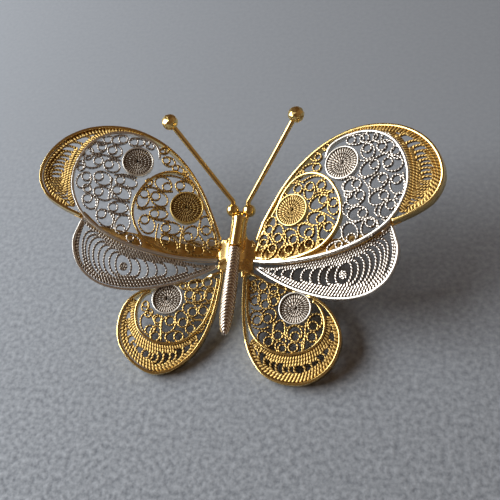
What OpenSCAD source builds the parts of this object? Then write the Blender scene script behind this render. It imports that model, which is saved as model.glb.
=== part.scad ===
// Butterfly brooch of two-tone filigree: a rod body, nested teardrop wings and a bar pin.
// Millimetres. X runs out to the wings, Y towards the head, Z up from the surface it lies on.

/* [Body] */
// Diameter of the polished thorax rod
thorax_d = 1.7; // [1.4:0.1:2]
// Length of the thorax rod
thorax_length = 4.9; // [4:0.1:6]
// Diameter of the roped abdomen where it meets the thorax
abdomen_d = 1.5; // [1.2:0.1:1.8]
// Diameter of the roped abdomen at the tail
tail_d = 1.4; // [1:0.1:1.7]
// Length of the abdomen
abdomen_length = 12.2; // [9:0.2:14]
// Height of the thorax axis above the wing roots' datum, at the head
head_height = 3.75; // [3.6:0.05:4.2]
// Nose-up slope of the thorax in degrees
thorax_slope = 6; // [4:1:9]
// Nose-up slope of the abdomen in degrees
abdomen_slope = 9.8; // [8:0.2:12]
// Diameter of each ball eye
eye_d = 1.74; // [1.4:0.02:2]

/* [Antennae] */
// Diameter of the antenna wire
antenna_d = 0.7; // [0.5:0.05:0.9]
// Diameter of the beads at the antenna ends
bead_d = 1.96; // [1.4:0.02:2.4]
// Rise of the beads above the eyes
antenna_rise = 10.8; // [6:0.2:13]
// Reach of the beads in front of the eyes
antenna_reach = 7.8; // [4:0.2:10]
// Spread of the beads outward from the eyes
antenna_spread = 7; // [4:0.2:10]
// How far the left antenna is bent out and back of the right one
antenna_skew = 0.8; // [0:0.1:1.5]

/* [Forewing] */
// Length of the forewing from the body axis to the tip, in its own plane
forewing_reach = 28.2; // [25:0.2:31]
// Depth of the forewing from its lower to its upper edge
forewing_chord = 17.5; // [15.5:0.1:19]
// Upward tilt of the forewing toward the tip in degrees
forewing_dihedral = 19; // [16:1:21]
// Nose-up pitch of the forewing in degrees
forewing_pitch = 14; // [13:1:16]
// Thickness of the outer strip seen from above
outer_wall = 0.45; // [0.35:0.05:0.6]
// Height of the outer strip that stands on edge
outer_depth = 1.3; // [1.1:0.05:1.4]
// Width of the flat strip that backs the lower edge
brace_width = 1.9; // [1.2:0.1:2.2]
// Thickness of the flat strip that backs the lower edge
brace_thick = 0.35; // [0.25:0.05:0.45]
// Diameter of the cup on the silver field
fore_silver_disc_d = 4.8; // [4:0.1:5]
// Diameter of the cup on the gold field
fore_gold_disc_d = 4.6; // [4:0.1:4.8]

/* [Midwing] */
// Length of the midwing from the body axis to its tip, in its own plane
midwing_reach = 21.7; // [19:0.1:23]
// Depth of the midwing from its upper to its lower edge
midwing_chord = 8.1; // [7:0.1:8.4]
// Upward tilt of the midwing toward the tip in degrees
midwing_dihedral = 18; // [17:1:19]
// Nose-up pitch of the midwing in degrees
midwing_pitch = 22; // [21:1:23]
// Height of the midwing strip that stands on edge
midwing_depth = 0.75; // [0.65:0.05:0.85]

/* [Hindwing] */
// Width of the hindwing from the body axis to its outer edge
hindwing_reach = 14.85; // [13:0.05:16]
// Length of the hindwing from its root to its lowest edge
hindwing_chord = 15.2; // [14:0.1:17]
// Upward tilt of the hindwing in degrees
hindwing_dihedral = 5; // [4:1:6]
// Nose-up pitch of the hindwing in degrees
hindwing_pitch = 14; // [13:1:15]
// Height of the hindwing outer strip that stands on edge
hindwing_depth = 1.25; // [1:0.05:1.4]
// Diameter of the cup on the hindwing
hind_disc_d = 4.1; // [3.6:0.1:4.2]

/* [Filigree] */
// Thickness of the inner strips seen from above
inner_wall = 0.4; // [0.3:0.05:0.5]
// Height of the inner strips that stand on edge
inner_depth = 0.8; // [0.7:0.05:0.85]
// Height of the scroll work between the strips
net_thick = 0.5; // [0.35:0.05:0.6]
// How far the scroll work lies below the edges of the strips
net_drop = 0.12; // [0.05:0.01:0.2]
// Distance between the gaps of the scroll work
net_pitch = 2.15; // [2:0.05:2.6]
// Diameter of the gaps of the scroll work
net_gap_d = 1.3; // [1:0.05:1.5]
// Height of the disc cups' walls
cup_depth = 0.85; // [0.7:0.05:0.9]
// Thickness of the disc cups' walls
cup_wall = 0.3; // [0.2:0.05:0.4]
// Relief of the coiled wire on the discs
coil_relief = 0.12; // [0.08:0.02:0.2]

/* [Saddle and pin] */
// Length of the saddle plate along the body
saddle_length = 4.5; // [4:0.1:4.5]
// Thickness of the saddle plate
saddle_thick = 1.3; // [1:0.1:1.5]
// Length of the pin bar across the back
pin_bar_length = 21; // [16:0.5:24]
// Width of the pin bar
pin_bar_width = 1.8; // [1.4:0.1:2.2]
// Thickness of the pin bar
pin_bar_thick = 0.7; // [0.5:0.1:0.9]
// Diameter of the pin stem
pin_stem_d = 0.8; // [0.6:0.1:1]
// Clear gap left between pieces that are soldered side by side
join_gap = 0.08; // [0.06:0.01:0.12]

/* [Hidden] */
$fn = 32;
GOLD = [0.84, 0.66, 0.27];
SILVER = [0.86, 0.86, 0.84];
smooth_steps = 5;

// Columns of the outline tables: share of the wing's reach, share of the wing's chord
OUT = 0;
FWD = 1;

// Outer strip of the forewing, from the root along the leading edge and round the tip to the notch
FORE_OUTER = [
    [0.067, 0.237], [0.128, 0.403], [0.202, 0.591], [0.291, 0.757], [0.394, 0.886],
    [0.504, 0.966], [0.620, 1.000], [0.738, 0.980], [0.851, 0.906], [0.943, 0.774],
    [0.996, 0.603], [1.000, 0.431], [0.947, 0.294], [0.858, 0.220], [0.764, 0.178]];
// Silver strip of the forewing, from the cup over the top and along the lower edge to the root
FORE_SILVER = [
    [0.447, 0.746], [0.450, 0.820], [0.472, 0.894], [0.518, 0.940], [0.582, 0.962],
    [0.656, 0.960], [0.727, 0.920], [0.791, 0.834], [0.833, 0.706], [0.851, 0.557],
    [0.840, 0.414], [0.798, 0.277], [0.738, 0.174], [0.656, 0.100], [0.550, 0.043],
    [0.426, 0.010], [0.284, 0.000], [0.160, 0.017], [0.067, 0.046]];
// Inner gold strip of the forewing, a teardrop that leaves the root and comes back to it
FORE_INNER = [
    [0.070, 0.140], [0.097, 0.262], [0.135, 0.365], [0.170, 0.460], [0.204, 0.537],
    [0.239, 0.614], [0.284, 0.680], [0.340, 0.714], [0.401, 0.700], [0.461, 0.637],
    [0.504, 0.534], [0.528, 0.414], [0.525, 0.294], [0.489, 0.174], [0.426, 0.083],
    [0.337, 0.036], [0.213, 0.034], [0.124, 0.055], [0.069, 0.078]];
// Midwing strip, from the root along the top, round the tip and back along the lower edge
MID_OUTER = [
    [0.089, 0.735], [0.184, 0.673], [0.369, 0.640], [0.553, 0.655], [0.714, 0.735],
    [0.843, 0.875], [0.928, 0.990], [0.970, 0.975], [0.991, 0.864], [1.000, 0.691],
    [0.986, 0.506], [0.949, 0.321], [0.889, 0.160], [0.793, 0.037], [0.682, 0.000],
    [0.562, 0.037], [0.438, 0.136], [0.300, 0.296], [0.161, 0.519], [0.075, 0.690]];
// Hindwing outer strip, from the root along the top, round the bottom and back beside the body
HIND_OUTER = [
    [0.135, 0.996], [0.283, 0.914], [0.485, 0.802], [0.700, 0.711], [0.822, 0.672],
    [0.926, 0.620], [0.993, 0.513], [1.000, 0.362], [0.929, 0.191], [0.795, 0.059],
    [0.633, 0.000], [0.471, 0.026], [0.330, 0.125], [0.222, 0.283], [0.148, 0.467],
    [0.101, 0.664], [0.094, 0.829], [0.091, 0.967]];
// Hindwing inner strip, from the outer side round the bottom to the body side
HIND_INNER = [
    [0.828, 0.610], [0.852, 0.520], [0.822, 0.408], [0.734, 0.309], [0.606, 0.250],
    [0.471, 0.243], [0.337, 0.289], [0.242, 0.382], [0.175, 0.513], [0.138, 0.664],
    [0.131, 0.796], [0.132, 0.914]];
// Discs: share of reach, share of chord
FORE_SILVER_DISC_AT = [0.543, 0.734];
FORE_GOLD_DISC_AT = [0.273, 0.423];
HIND_DISC_AT = [0.574, 0.664];

// Lower edge of each wing, measured forward of the datum in the wing's own plane
fore_low = -9.75;
mid_low = -15.4;
hind_low = -25.1;
// The midwing hangs below the forewing's strips, and the hindwing level with the saddle
wing_datum = 3.6;
mid_datum = wing_datum + 0.39;
// How far the flat strip lies in from the forewing's lower edge
brace_inset = 0.1;
// The datum sits ahead of the middle of the brooch's box
datum_forward = 8.27;
// The head end of the thorax, and its eyes
head_y = -2.2;
head = [0, head_y, head_height];
eye_gap = 0.58;
eye_out = (eye_d + eye_gap) / 2;
eye_at = [eye_out, head_y + eye_d / 2 + join_gap, head_height - 0.05];
waist = head + thorax_length * [0, -cos(thorax_slope), -sin(thorax_slope)];

// The saddle lies under the thorax and reaches the wing roots
saddle_front = -5.3;
saddle_top = head_height - wing_datum + 0.06;
root_out = 0.067 * forewing_reach;
function saddle_side(y) = root_out * cos(forewing_dihedral)
    - y * sin(forewing_dihedral) * sin(forewing_pitch) - join_gap;

function unit(v) = v / norm(v);
// A smooth curve through four stations
function through(p, q, r, s, t) =
    0.5 * (2 * q + (r - p) * t + (2 * p - 5 * q + 4 * r - s) * t * t + (3 * q - p - 3 * r + s) * t * t * t);
function open_curve(st) = let (m = len(st)) concat(
    [for (i = [0 : m - 2]) for (k = [0 : smooth_steps - 1])
        through(st[max(i - 1, 0)], st[i], st[i + 1], st[min(i + 2, m - 1)], k / smooth_steps)],
    [st[m - 1]]);
function closed_curve(st) = let (m = len(st))
    [for (i = [0 : m - 1]) for (k = [0 : smooth_steps - 1])
        through(st[(i + m - 1) % m], st[i], st[(i + 1) % m], st[(i + 2) % m], k / smooth_steps)];
// Directions that point into the wing, for outlines that run clockwise
function inward(c) = let (m = len(c), shut = norm(c[0] - c[m - 1]) < 2)
    [for (i = [0 : m - 1]) let (
        a = shut ? c[(i + m - 1) % m] : c[max(i - 1, 0)],
        b = shut ? c[(i + 1) % m] : c[min(i + 1, m - 1)],
        t = unit(b - a)) [t.y, -t.x]];
function inset(c, d) = let (n = inward(c)) [for (i = [0 : len(c) - 1]) c[i] + n[i] * d];
// An inset curve without the points that a narrow corner turns inside out
function clean_inset(c, d) = [for (p = inset(c, d)) if (min([for (q = c) norm(p - q)]) > d * 0.97) p];
function reversed(c) = [for (i = [len(c) - 1 : -1 : 0]) c[i]];
function nearest(p, c) = let (d = [for (q = c) norm(p - q)]) search(min(d), d)[0];
// How far a point lies inside an outline
function inside_by(p, c, n) = let (k = nearest(p, c)) (p - c[k]) * n[k];
// Moves the points of a curve that come closer than d to an outline, so that nested strips never meet.
// Points past the outline's ends stay.
function keep_inside(pts, c, d) = let (n = inward(c), m = len(c))
    [for (p = pts) let (k = nearest(p, c), s = (p - c[k]) * n[k], past_end = k == 0 || k == m - 1)
        s < d && !past_end ? p + n[k] * (d - s) : p];
// A point of the forewing's plane, seen straight down onto the midwing's plane
function over_midwing(p) = let (
    x = p.x * cos(forewing_dihedral) - p.y * sin(forewing_dihedral) * sin(forewing_pitch),
    fwd = p.y * cos(forewing_pitch) / cos(midwing_pitch))
    [(x + fwd * sin(midwing_dihedral) * sin(midwing_pitch)) / cos(midwing_dihedral), fwd];
// The points of a curve that lie out beyond x and below y
function past(c, x, y = 100) = [for (p = c) if (p.x > x && p.y < y) p];

function fore(st) = [for (s = st) [s[OUT] * forewing_reach, fore_low + s[FWD] * forewing_chord]];
function mid(st) = [for (s = st) [s[OUT] * midwing_reach, mid_low + s[FWD] * midwing_chord]];
function hind(st) = [for (s = st) [s[OUT] * hindwing_reach, hind_low + s[FWD] * hindwing_chord]];

fore_outer = open_curve(fore(FORE_OUTER));
fore_silver = keep_inside(open_curve(fore(FORE_SILVER)), fore_outer, outer_wall + 2 * join_gap);
fore_silver_lower = [for (i = [round(len(fore_silver) * 0.6) : len(fore_silver) - 1]) fore_silver[i]];
fore_inner = keep_inside(
    keep_inside(open_curve(fore(FORE_INNER)), fore_outer, outer_wall + join_gap),
    fore_silver_lower, inner_wall + join_gap);
// The midwing's upper edge runs just below the edge of the flat strip under the forewing
brace_edge = inset(fore_silver_lower, brace_inset);
brace_line = [for (p = brace_edge) over_midwing(p)];
mid_outer = [for (p = closed_curve(mid(MID_OUTER))) [p.x, min(p.y, lookup(p.x, brace_line) - join_gap)]];
hind_outer = closed_curve(hind(HIND_OUTER));
hind_inner = keep_inside(open_curve(hind(HIND_INNER)), hind_outer, outer_wall + join_gap);
// Where the surface lies below the datum: at the lowest edge of the hindwing
rest_height = -wing_datum + hindwing_depth * cos(hindwing_dihedral) * cos(hindwing_pitch)
    - min([for (p = hind_outer) p.x * sin(hindwing_dihedral) + p.y * cos(hindwing_dihedral) * sin(hindwing_pitch)]);
fore_silver_disc = fore([FORE_SILVER_DISC_AT])[0];
fore_gold_disc = fore([FORE_GOLD_DISC_AT])[0];
hind_disc = hind([HIND_DISC_AT])[0];

// Places a flat drawing in the plane of a wing
module on_brooch() translate([0, datum_forward, rest_height]) children();
module forewing_plane() on_brooch() translate([0, 0, wing_datum])
    rotate([forewing_pitch, -forewing_dihedral, 0]) children();
module saddle_plane() on_brooch() translate([0, 0, wing_datum]) rotate([forewing_pitch, 0, 0]) children();
module midwing_plane() on_brooch() translate([0, 0, mid_datum])
    rotate([midwing_pitch, -midwing_dihedral, 0]) children();
module hindwing_plane() on_brooch() translate([0, 0, wing_datum])
    rotate([hindwing_pitch, -hindwing_dihedral, 0]) children();
module left() mirror([1, 0, 0]) children();
// A flat drawing raised from top down by depth
module raised(top, depth) translate([0, 0, top - depth]) linear_extrude(depth) children();
// A strip that follows a curve
module strip(c, wall) polygon(concat(c, reversed(inset(c, wall))));
// A strip that closes on itself, with its root end left solid
module loop_strip(c, wall, x, y = 100) difference() {
    polygon(c);
    polygon(past(clean_inset(c, wall), x, y));
}
// A straight round rod between two points
module rod(a, b, d1, d2) let (v = b - a)
    translate(a) rotate([0, acos(v.z / norm(v)), atan2(v.y, v.x)]) cylinder(h = norm(v), d1 = d1, d2 = d2);
// Rows of gaps over a box, for the scroll work
function rows(x0, x1, y0, y1) =
    [for (j = [0 : floor((y1 - y0) / (net_pitch * 0.866))])
        for (i = [0 : floor((x1 - x0) / net_pitch)])
            [x0 + (i + (j % 2) / 2) * net_pitch, y0 + j * net_pitch * 0.866]];
module gaps(list) for (p = list) translate(p) circle(d = net_gap_d, $fn = 8);

// A round cup with a coil of wire laid on its floor
module disc_cup(at, d) translate([at.x, at.y, 0]) {
    floor_top = -0.2;
    difference() {
        translate([0, 0, -cup_depth]) cylinder(h = cup_depth, d = d);
        translate([0, 0, floor_top]) cylinder(h = 1, d = d - 2 * cup_wall);
    }
    for (r = [0.3 : 0.55 : d / 2 - cup_wall - 0.3])
        translate([0, 0, floor_top - 0.05]) difference() {
            cylinder(h = coil_relief + 0.05, r = r + 0.14);
            if (r > 0.4) translate([0, 0, -1]) cylinder(h = 3, r = r - 0.14);
        }
}

module thorax() color(GOLD) on_brooch() {
    rod(head, waist, thorax_d, thorax_d);
    rod(head + [0, eye_d * 0.75, 0.1], head - [0, 0.2, 0], eye_gap - 2 * join_gap, eye_gap - 2 * join_gap);
}

module abdomen() color(SILVER) on_brooch() {
    start = waist - [0, join_gap + 0.05, 0];
    tail = start + abdomen_length * [0, -cos(abdomen_slope), -sin(abdomen_slope)];
    rod(start, tail, abdomen_d, tail_d);
    translate(tail) sphere(d = tail_d * 1.03);
}

module eye_right() color(GOLD) on_brooch() translate(eye_at) sphere(d = eye_d);
module eye_left() color(GOLD) on_brooch() translate([-eye_at.x, eye_at.y, eye_at.z]) sphere(d = eye_d);

// One antenna: side is 1 or -1, skew bends it out and back
module antenna(side, skew) {
    foot = eye_at + (eye_d / 2 + antenna_d / 2 + join_gap) * [-0.25, 0.648, 0.72];
    knee = foot + [0.08, 0.07, 0.12] * antenna_rise;
    bead = eye_at + [antenna_spread + skew, antenna_reach - 1.4 * skew, antenna_rise];
    on_brooch() scale_side(side) {
        translate(foot) sphere(d = antenna_d);
        rod(foot, knee, antenna_d, antenna_d);
        translate(knee) sphere(d = antenna_d * 1.04);
        rod(knee, bead, antenna_d, antenna_d);
        translate(bead) sphere(d = bead_d);
    }
}
module scale_side(side) if (side < 0) mirror([1, 0, 0]) children(); else children();
module antenna_right() color(GOLD) antenna(1, 0);
module antenna_left() color(GOLD) antenna(-1, antenna_skew);

// Plate that the wing roots are soldered to, with a round notch each side of the thorax
module saddle() color(GOLD) saddle_plane() raised(saddle_top, saddle_thick) difference() {
    back = saddle_front - saddle_length;
    polygon([[-saddle_side(back), back], [-saddle_side(saddle_front), saddle_front],
        [saddle_side(saddle_front), saddle_front], [saddle_side(back), back]]);
    for (s = [-1, 1]) translate([s * (thorax_d / 2 + saddle_side(saddle_front)) / 2, saddle_front + 0.1])
        circle(d = saddle_side(saddle_front) - thorax_d / 2 - 0.35);
}

// Bar, hinge block, catch block and stem of the brooch pin, one plain piece
module pin() color(SILVER) {
    bar_top = saddle_top - saddle_thick - join_gap;
    bar_back = -7.1;
    foot_y = -5.7;
    block_length = 1.6;
    // Distance between the middles of the blocks, which stand a little in from the bar's ends
    span = pin_bar_length - block_length - 0.6;
    // Height of the bar's middle over the feet
    bar_z = wing_datum + (foot_y + 0.4) * tan(forewing_pitch) + (bar_top - pin_bar_thick / 2) / cos(forewing_pitch);
    saddle_plane() translate([-pin_bar_length / 2, bar_back, bar_top - pin_bar_thick])
        cube([pin_bar_length, pin_bar_width, pin_bar_thick]);
    on_brooch() {
        for (s = [-1, 1])
            translate([s * span / 2 - block_length / 2, foot_y, -rest_height])
                cube([block_length, pin_bar_width, bar_z + rest_height]);
        translate([-span / 2, foot_y + pin_bar_width / 2, pin_stem_d / 2 + 0.4 - rest_height])
            rotate([0, 90, 0]) cylinder(h = span, d = pin_stem_d);
    }
}

// Strip on edge round the leading edge and tip, and the flat strip that backs the lower edge
module forewing_frame() color(GOLD) forewing_plane() {
    last = len(fore_outer) - 1;
    seat = inset(fore_silver_lower, 0.6);
    near = nearest(fore_outer[last], fore_silver_lower);
    raised(0, outer_depth) strip(fore_outer, outer_wall);
    raised(brace_thick - outer_depth, brace_thick) {
        intersection() {
            strip(brace_edge, brace_width + 2);
            translate([root_out, fore_low]) square([forewing_reach, brace_width + 0.6]);
        }
        polygon([fore_outer[last], fore_outer[last - 2], seat[near - 1], seat[near + 6]]);
    }
}
module forewing_crescent() color(GOLD) forewing_plane()
    raised(-net_drop, net_thick) difference() {
        polygon(inset(fore_outer, outer_wall + join_gap));
        polygon(inset(fore_silver, -join_gap));
        translate([-5, -20]) square([5 + 0.715 * forewing_reach, 40]);
        for (k = [0 : 3]) translate([0.926 * forewing_reach, fore_low + (0.40 + k * 0.09) * forewing_chord])
            circle(d = 0.7, $fn = 8);
    }
module forewing_silver_frame() color(SILVER) forewing_plane()
    raised(0, inner_depth) difference() {
        strip(fore_silver, inner_wall);
        translate(fore_silver_disc) circle(d = fore_silver_disc_d + 2 * join_gap);
    }
module forewing_silver_net() color(SILVER) forewing_plane() {
    rim = inset(fore_silver, inner_wall + join_gap);
    n = inward(fore_silver);
    ni = inward(fore_inner);
    edge = inner_wall + join_gap + net_gap_d * 0.62;
    raised(-net_drop, net_thick) difference() {
        polygon(rim);
        polygon(inset(fore_inner, -join_gap));
        translate(fore_silver_disc) circle(d = fore_silver_disc_d + 2 * join_gap);
        translate([-5, -20]) square([5 + 0.37 * forewing_reach, 40]);
        gaps([for (p = rows(0.5 * forewing_reach, 0.86 * forewing_reach,
                            fore_low + 0.09 * forewing_chord, fore_low + 0.97 * forewing_chord))
            if (inside_by(p, fore_silver, n) > edge
                && inside_by(p, fore_inner, ni) < -net_gap_d * 0.62 - join_gap
                && norm(p - fore_silver_disc) > (fore_silver_disc_d + net_gap_d) / 2 + 0.15) p]);
    }
}
module forewing_silver_disc() color(SILVER) forewing_plane() disc_cup(fore_silver_disc, fore_silver_disc_d);
module forewing_inner_frame() color(GOLD) forewing_plane()
    raised(0, inner_depth) strip(fore_inner, inner_wall);
module forewing_gold_net() color(GOLD) forewing_plane() {
    n = inward(fore_inner);
    edge = inner_wall + join_gap + net_gap_d * 0.62;
    raised(-net_drop, net_thick) difference() {
        polygon(past(inset(fore_inner, inner_wall + join_gap), 0.09 * forewing_reach));
        translate(fore_gold_disc) circle(d = fore_gold_disc_d + 2 * join_gap);
        gaps([for (p = rows(0.10 * forewing_reach, 0.52 * forewing_reach,
                            fore_low + 0.10 * forewing_chord, fore_low + 0.70 * forewing_chord))
            if (inside_by(p, fore_inner, n) > edge
                && norm(p - fore_gold_disc) > (fore_gold_disc_d + net_gap_d) / 2 + 0.15) p]);
    }
}
module forewing_gold_disc() color(GOLD) forewing_plane() disc_cup(fore_gold_disc, fore_gold_disc_d);
module forewing_edge_net() color(GOLD) forewing_plane()
    raised(-net_drop, net_thick) difference() {
        polygon(inset(fore_outer, outer_wall + join_gap));
        polygon(inset(fore_silver, -join_gap));
        polygon(inset(fore_inner, -join_gap));
        translate([0.48 * forewing_reach, -20]) square(40);
        translate([-5, -20]) square([5 + 0.29 * forewing_reach, 40]);
        translate([-1, -30]) square([50, 30 + fore_low + 0.66 * forewing_chord]);
        for (q = [[0.355, 0.755], [0.405, 0.805]])
            translate(fore([q])[0]) circle(d = 0.9, $fn = 8);
    }

module midwing_frame() color(SILVER) midwing_plane()
    raised(0, midwing_depth) loop_strip(mid_outer, inner_wall, 0.16 * midwing_reach);
module midwing_loops() color(SILVER) midwing_plane()
    raised(-net_drop, net_thick) difference() {
        polygon(past(clean_inset(mid_outer, inner_wall + join_gap), 0.19 * midwing_reach));
        for (k = [0 : 7]) translate(mid([[0.30 + k * 0.078, 0.445 - k * 0.007]])[0])
            scale([0.45, 1]) circle(d = 1.5, $fn = 8);
    }

module hindwing_frame() color(GOLD) hindwing_plane()
    raised(0, hindwing_depth) difference() {
        loop_strip(hind_outer, outer_wall, 0, hind_low + 0.93 * hindwing_chord);
        translate(hind_disc) circle(d = hind_disc_d + 2 * join_gap);
    }
module hindwing_inner_frame() color(GOLD) hindwing_plane()
    raised(0, inner_depth) strip(hind_inner, inner_wall);
module hindwing_crescent() color(GOLD) hindwing_plane()
    raised(-net_drop, net_thick) difference() {
        polygon(inset(hind_outer, outer_wall + join_gap));
        polygon(inset(hind_inner, -join_gap));
        translate([-5, hind_low + 0.40 * hindwing_chord]) square([5 + 0.5 * hindwing_reach, 40]);
        translate([0.2 * hindwing_reach, hind_low + 0.61 * hindwing_chord]) square(40);
        for (a = [-112 : 17 : -10]) translate(hind([[0.575 + 0.335 * cos(a), 0.40 + 0.27 * sin(a)]])[0])
            circle(d = 0.8, $fn = 8);
    }
module hindwing_net() color(GOLD) hindwing_plane() {
    n = inward(hind_inner);
    no = inward(hind_outer);
    edge = inner_wall + join_gap + net_gap_d * 0.62;
    raised(-net_drop, net_thick) difference() {
        intersection() {
            polygon(past(inset(hind_outer, outer_wall + join_gap), 0, hind_low + 0.92 * hindwing_chord));
            polygon(concat(inset(hind_inner, inner_wall + join_gap),
                [hind([[0.16, 1.05]])[0], hind([[0.86, 0.80]])[0]]));
        }
        translate(hind_disc) circle(d = hind_disc_d + 2 * join_gap);
        gaps([for (p = rows(0.19 * hindwing_reach, 0.85 * hindwing_reach,
                            hind_low + 0.33 * hindwing_chord, hind_low + 0.93 * hindwing_chord))
            if (inside_by(p, hind_inner, n) > edge && inside_by(p, hind_outer, no) > edge + 0.1
                && norm(p - hind_disc) > (hind_disc_d + net_gap_d) / 2 + 0.12) p]);
    }
}
module hindwing_disc() color(SILVER) hindwing_plane() disc_cup(hind_disc, hind_disc_d);

thorax();
abdomen();
eye_right();
eye_left();
antenna_right();
antenna_left();
saddle();
pin();
forewing_frame();  // forewing_frame_right
forewing_crescent();  // forewing_crescent_right
forewing_silver_frame();  // forewing_silver_frame_right
forewing_silver_net();  // forewing_silver_net_right
forewing_silver_disc();  // forewing_silver_disc_right
forewing_inner_frame();  // forewing_inner_frame_right
forewing_gold_net();  // forewing_gold_net_right
forewing_gold_disc();  // forewing_gold_disc_right
forewing_edge_net();  // forewing_edge_net_right
midwing_frame();  // midwing_frame_right
midwing_loops();  // midwing_loops_right
hindwing_frame();  // hindwing_frame_right
hindwing_inner_frame();  // hindwing_inner_frame_right
hindwing_crescent();  // hindwing_crescent_right
hindwing_net();  // hindwing_net_right
hindwing_disc();  // hindwing_disc_right
left() forewing_frame();  // forewing_frame_left
left() forewing_crescent();  // forewing_crescent_left
left() forewing_silver_frame();  // forewing_silver_frame_left
left() forewing_silver_net();  // forewing_silver_net_left
left() forewing_silver_disc();  // forewing_silver_disc_left
left() forewing_inner_frame();  // forewing_inner_frame_left
left() forewing_gold_net();  // forewing_gold_net_left
left() forewing_gold_disc();  // forewing_gold_disc_left
left() forewing_edge_net();  // forewing_edge_net_left
left() midwing_frame();  // midwing_frame_left
left() midwing_loops();  // midwing_loops_left
left() hindwing_frame();  // hindwing_frame_left
left() hindwing_inner_frame();  // hindwing_inner_frame_left
left() hindwing_crescent();  // hindwing_crescent_left
left() hindwing_net();  // hindwing_net_left
left() hindwing_disc();  // hindwing_disc_left
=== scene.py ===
"""Two-tone filigree butterfly brooch: strips, scroll work, coils, body and bar pin, on grey paper.

Each sub-assembly is a class that holds its sizes in millimetres and builds its own pieces. The wings are
drawn flat, in their own planes (out from the body, forward towards the head, up from the strips' top
edges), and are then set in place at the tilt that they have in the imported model.
"""

import logging
import math
from collections.abc import Sequence
from dataclasses import dataclass, field
from enum import Enum
from functools import partial
from typing import NamedTuple

import bmesh
import bpy
import numpy as np
from mathutils import Matrix, Vector


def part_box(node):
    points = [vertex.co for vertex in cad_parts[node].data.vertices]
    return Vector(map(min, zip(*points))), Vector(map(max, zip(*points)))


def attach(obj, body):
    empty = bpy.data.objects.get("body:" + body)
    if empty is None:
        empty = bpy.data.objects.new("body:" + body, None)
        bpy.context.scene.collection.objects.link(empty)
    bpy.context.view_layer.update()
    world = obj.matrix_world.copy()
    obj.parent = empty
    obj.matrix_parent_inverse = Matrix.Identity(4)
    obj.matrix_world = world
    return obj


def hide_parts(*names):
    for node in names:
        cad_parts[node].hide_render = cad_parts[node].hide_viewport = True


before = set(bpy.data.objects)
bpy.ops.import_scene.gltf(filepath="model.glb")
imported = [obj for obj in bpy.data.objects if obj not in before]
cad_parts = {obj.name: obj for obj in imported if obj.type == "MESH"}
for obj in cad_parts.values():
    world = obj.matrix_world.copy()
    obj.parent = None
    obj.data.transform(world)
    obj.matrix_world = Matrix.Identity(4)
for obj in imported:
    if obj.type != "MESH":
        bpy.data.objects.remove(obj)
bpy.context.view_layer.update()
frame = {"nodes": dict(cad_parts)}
LOG = logging.getLogger("brooch")
MM = 0.001
BODY = "root"
# Points that a smooth curve has from one station to the next
STEPS = 8

Array = np.ndarray


class Side(Enum):
    """The two halves of the brooch, as the sign that mirrors them."""

    RIGHT = 1
    LEFT = -1

    def node(self, name: str) -> str:
        """Returns the name of a node on this side."""
        return f"{name}_{self.name.lower()}"


class Metal(Enum):
    """The metals of the brooch, as colours in linear light."""

    GOLD = (0.93, 0.68, 0.26)
    RED_GOLD = (0.97, 0.63, 0.24)
    WIRE_GOLD = (0.78, 0.55, 0.20)
    SILVER = (0.88, 0.83, 0.75)
    WIRE_SILVER = (0.72, 0.67, 0.60)


def fill(tree: bpy.types.NodeTree, node: bpy.types.Node, inputs: dict[str, object]) -> None:
    """Sets or links a shader node's inputs.

    Args:
        tree: The node tree.
        node: The node.
        inputs: For each input's name, its value or the output that goes into it.
    """
    for name, value in inputs.items():
        if isinstance(value, bpy.types.NodeSocket):
            tree.links.new(value, node.inputs[name])
        else:
            node.inputs[name].default_value = value


def added(tree: bpy.types.NodeTree, kind: str, output: str, inputs: dict[str, object] | None = None,
          **settings: str | bool) -> bpy.types.NodeSocket:
    """Adds a shader node.

    Args:
        tree: The node tree that takes it.
        kind: Its type, without the words that every shader node's type starts with.
        output: The name of the output to return.
        inputs: For each input's name, its value or the output that goes into it.
        settings: The node's own settings.

    Returns:
        The output.
    """
    node = tree.nodes.new(f"ShaderNode{kind}")
    for name, value in settings.items():
        setattr(node, name, value)
    fill(tree, node, inputs or {})
    return node.outputs[output]


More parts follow.
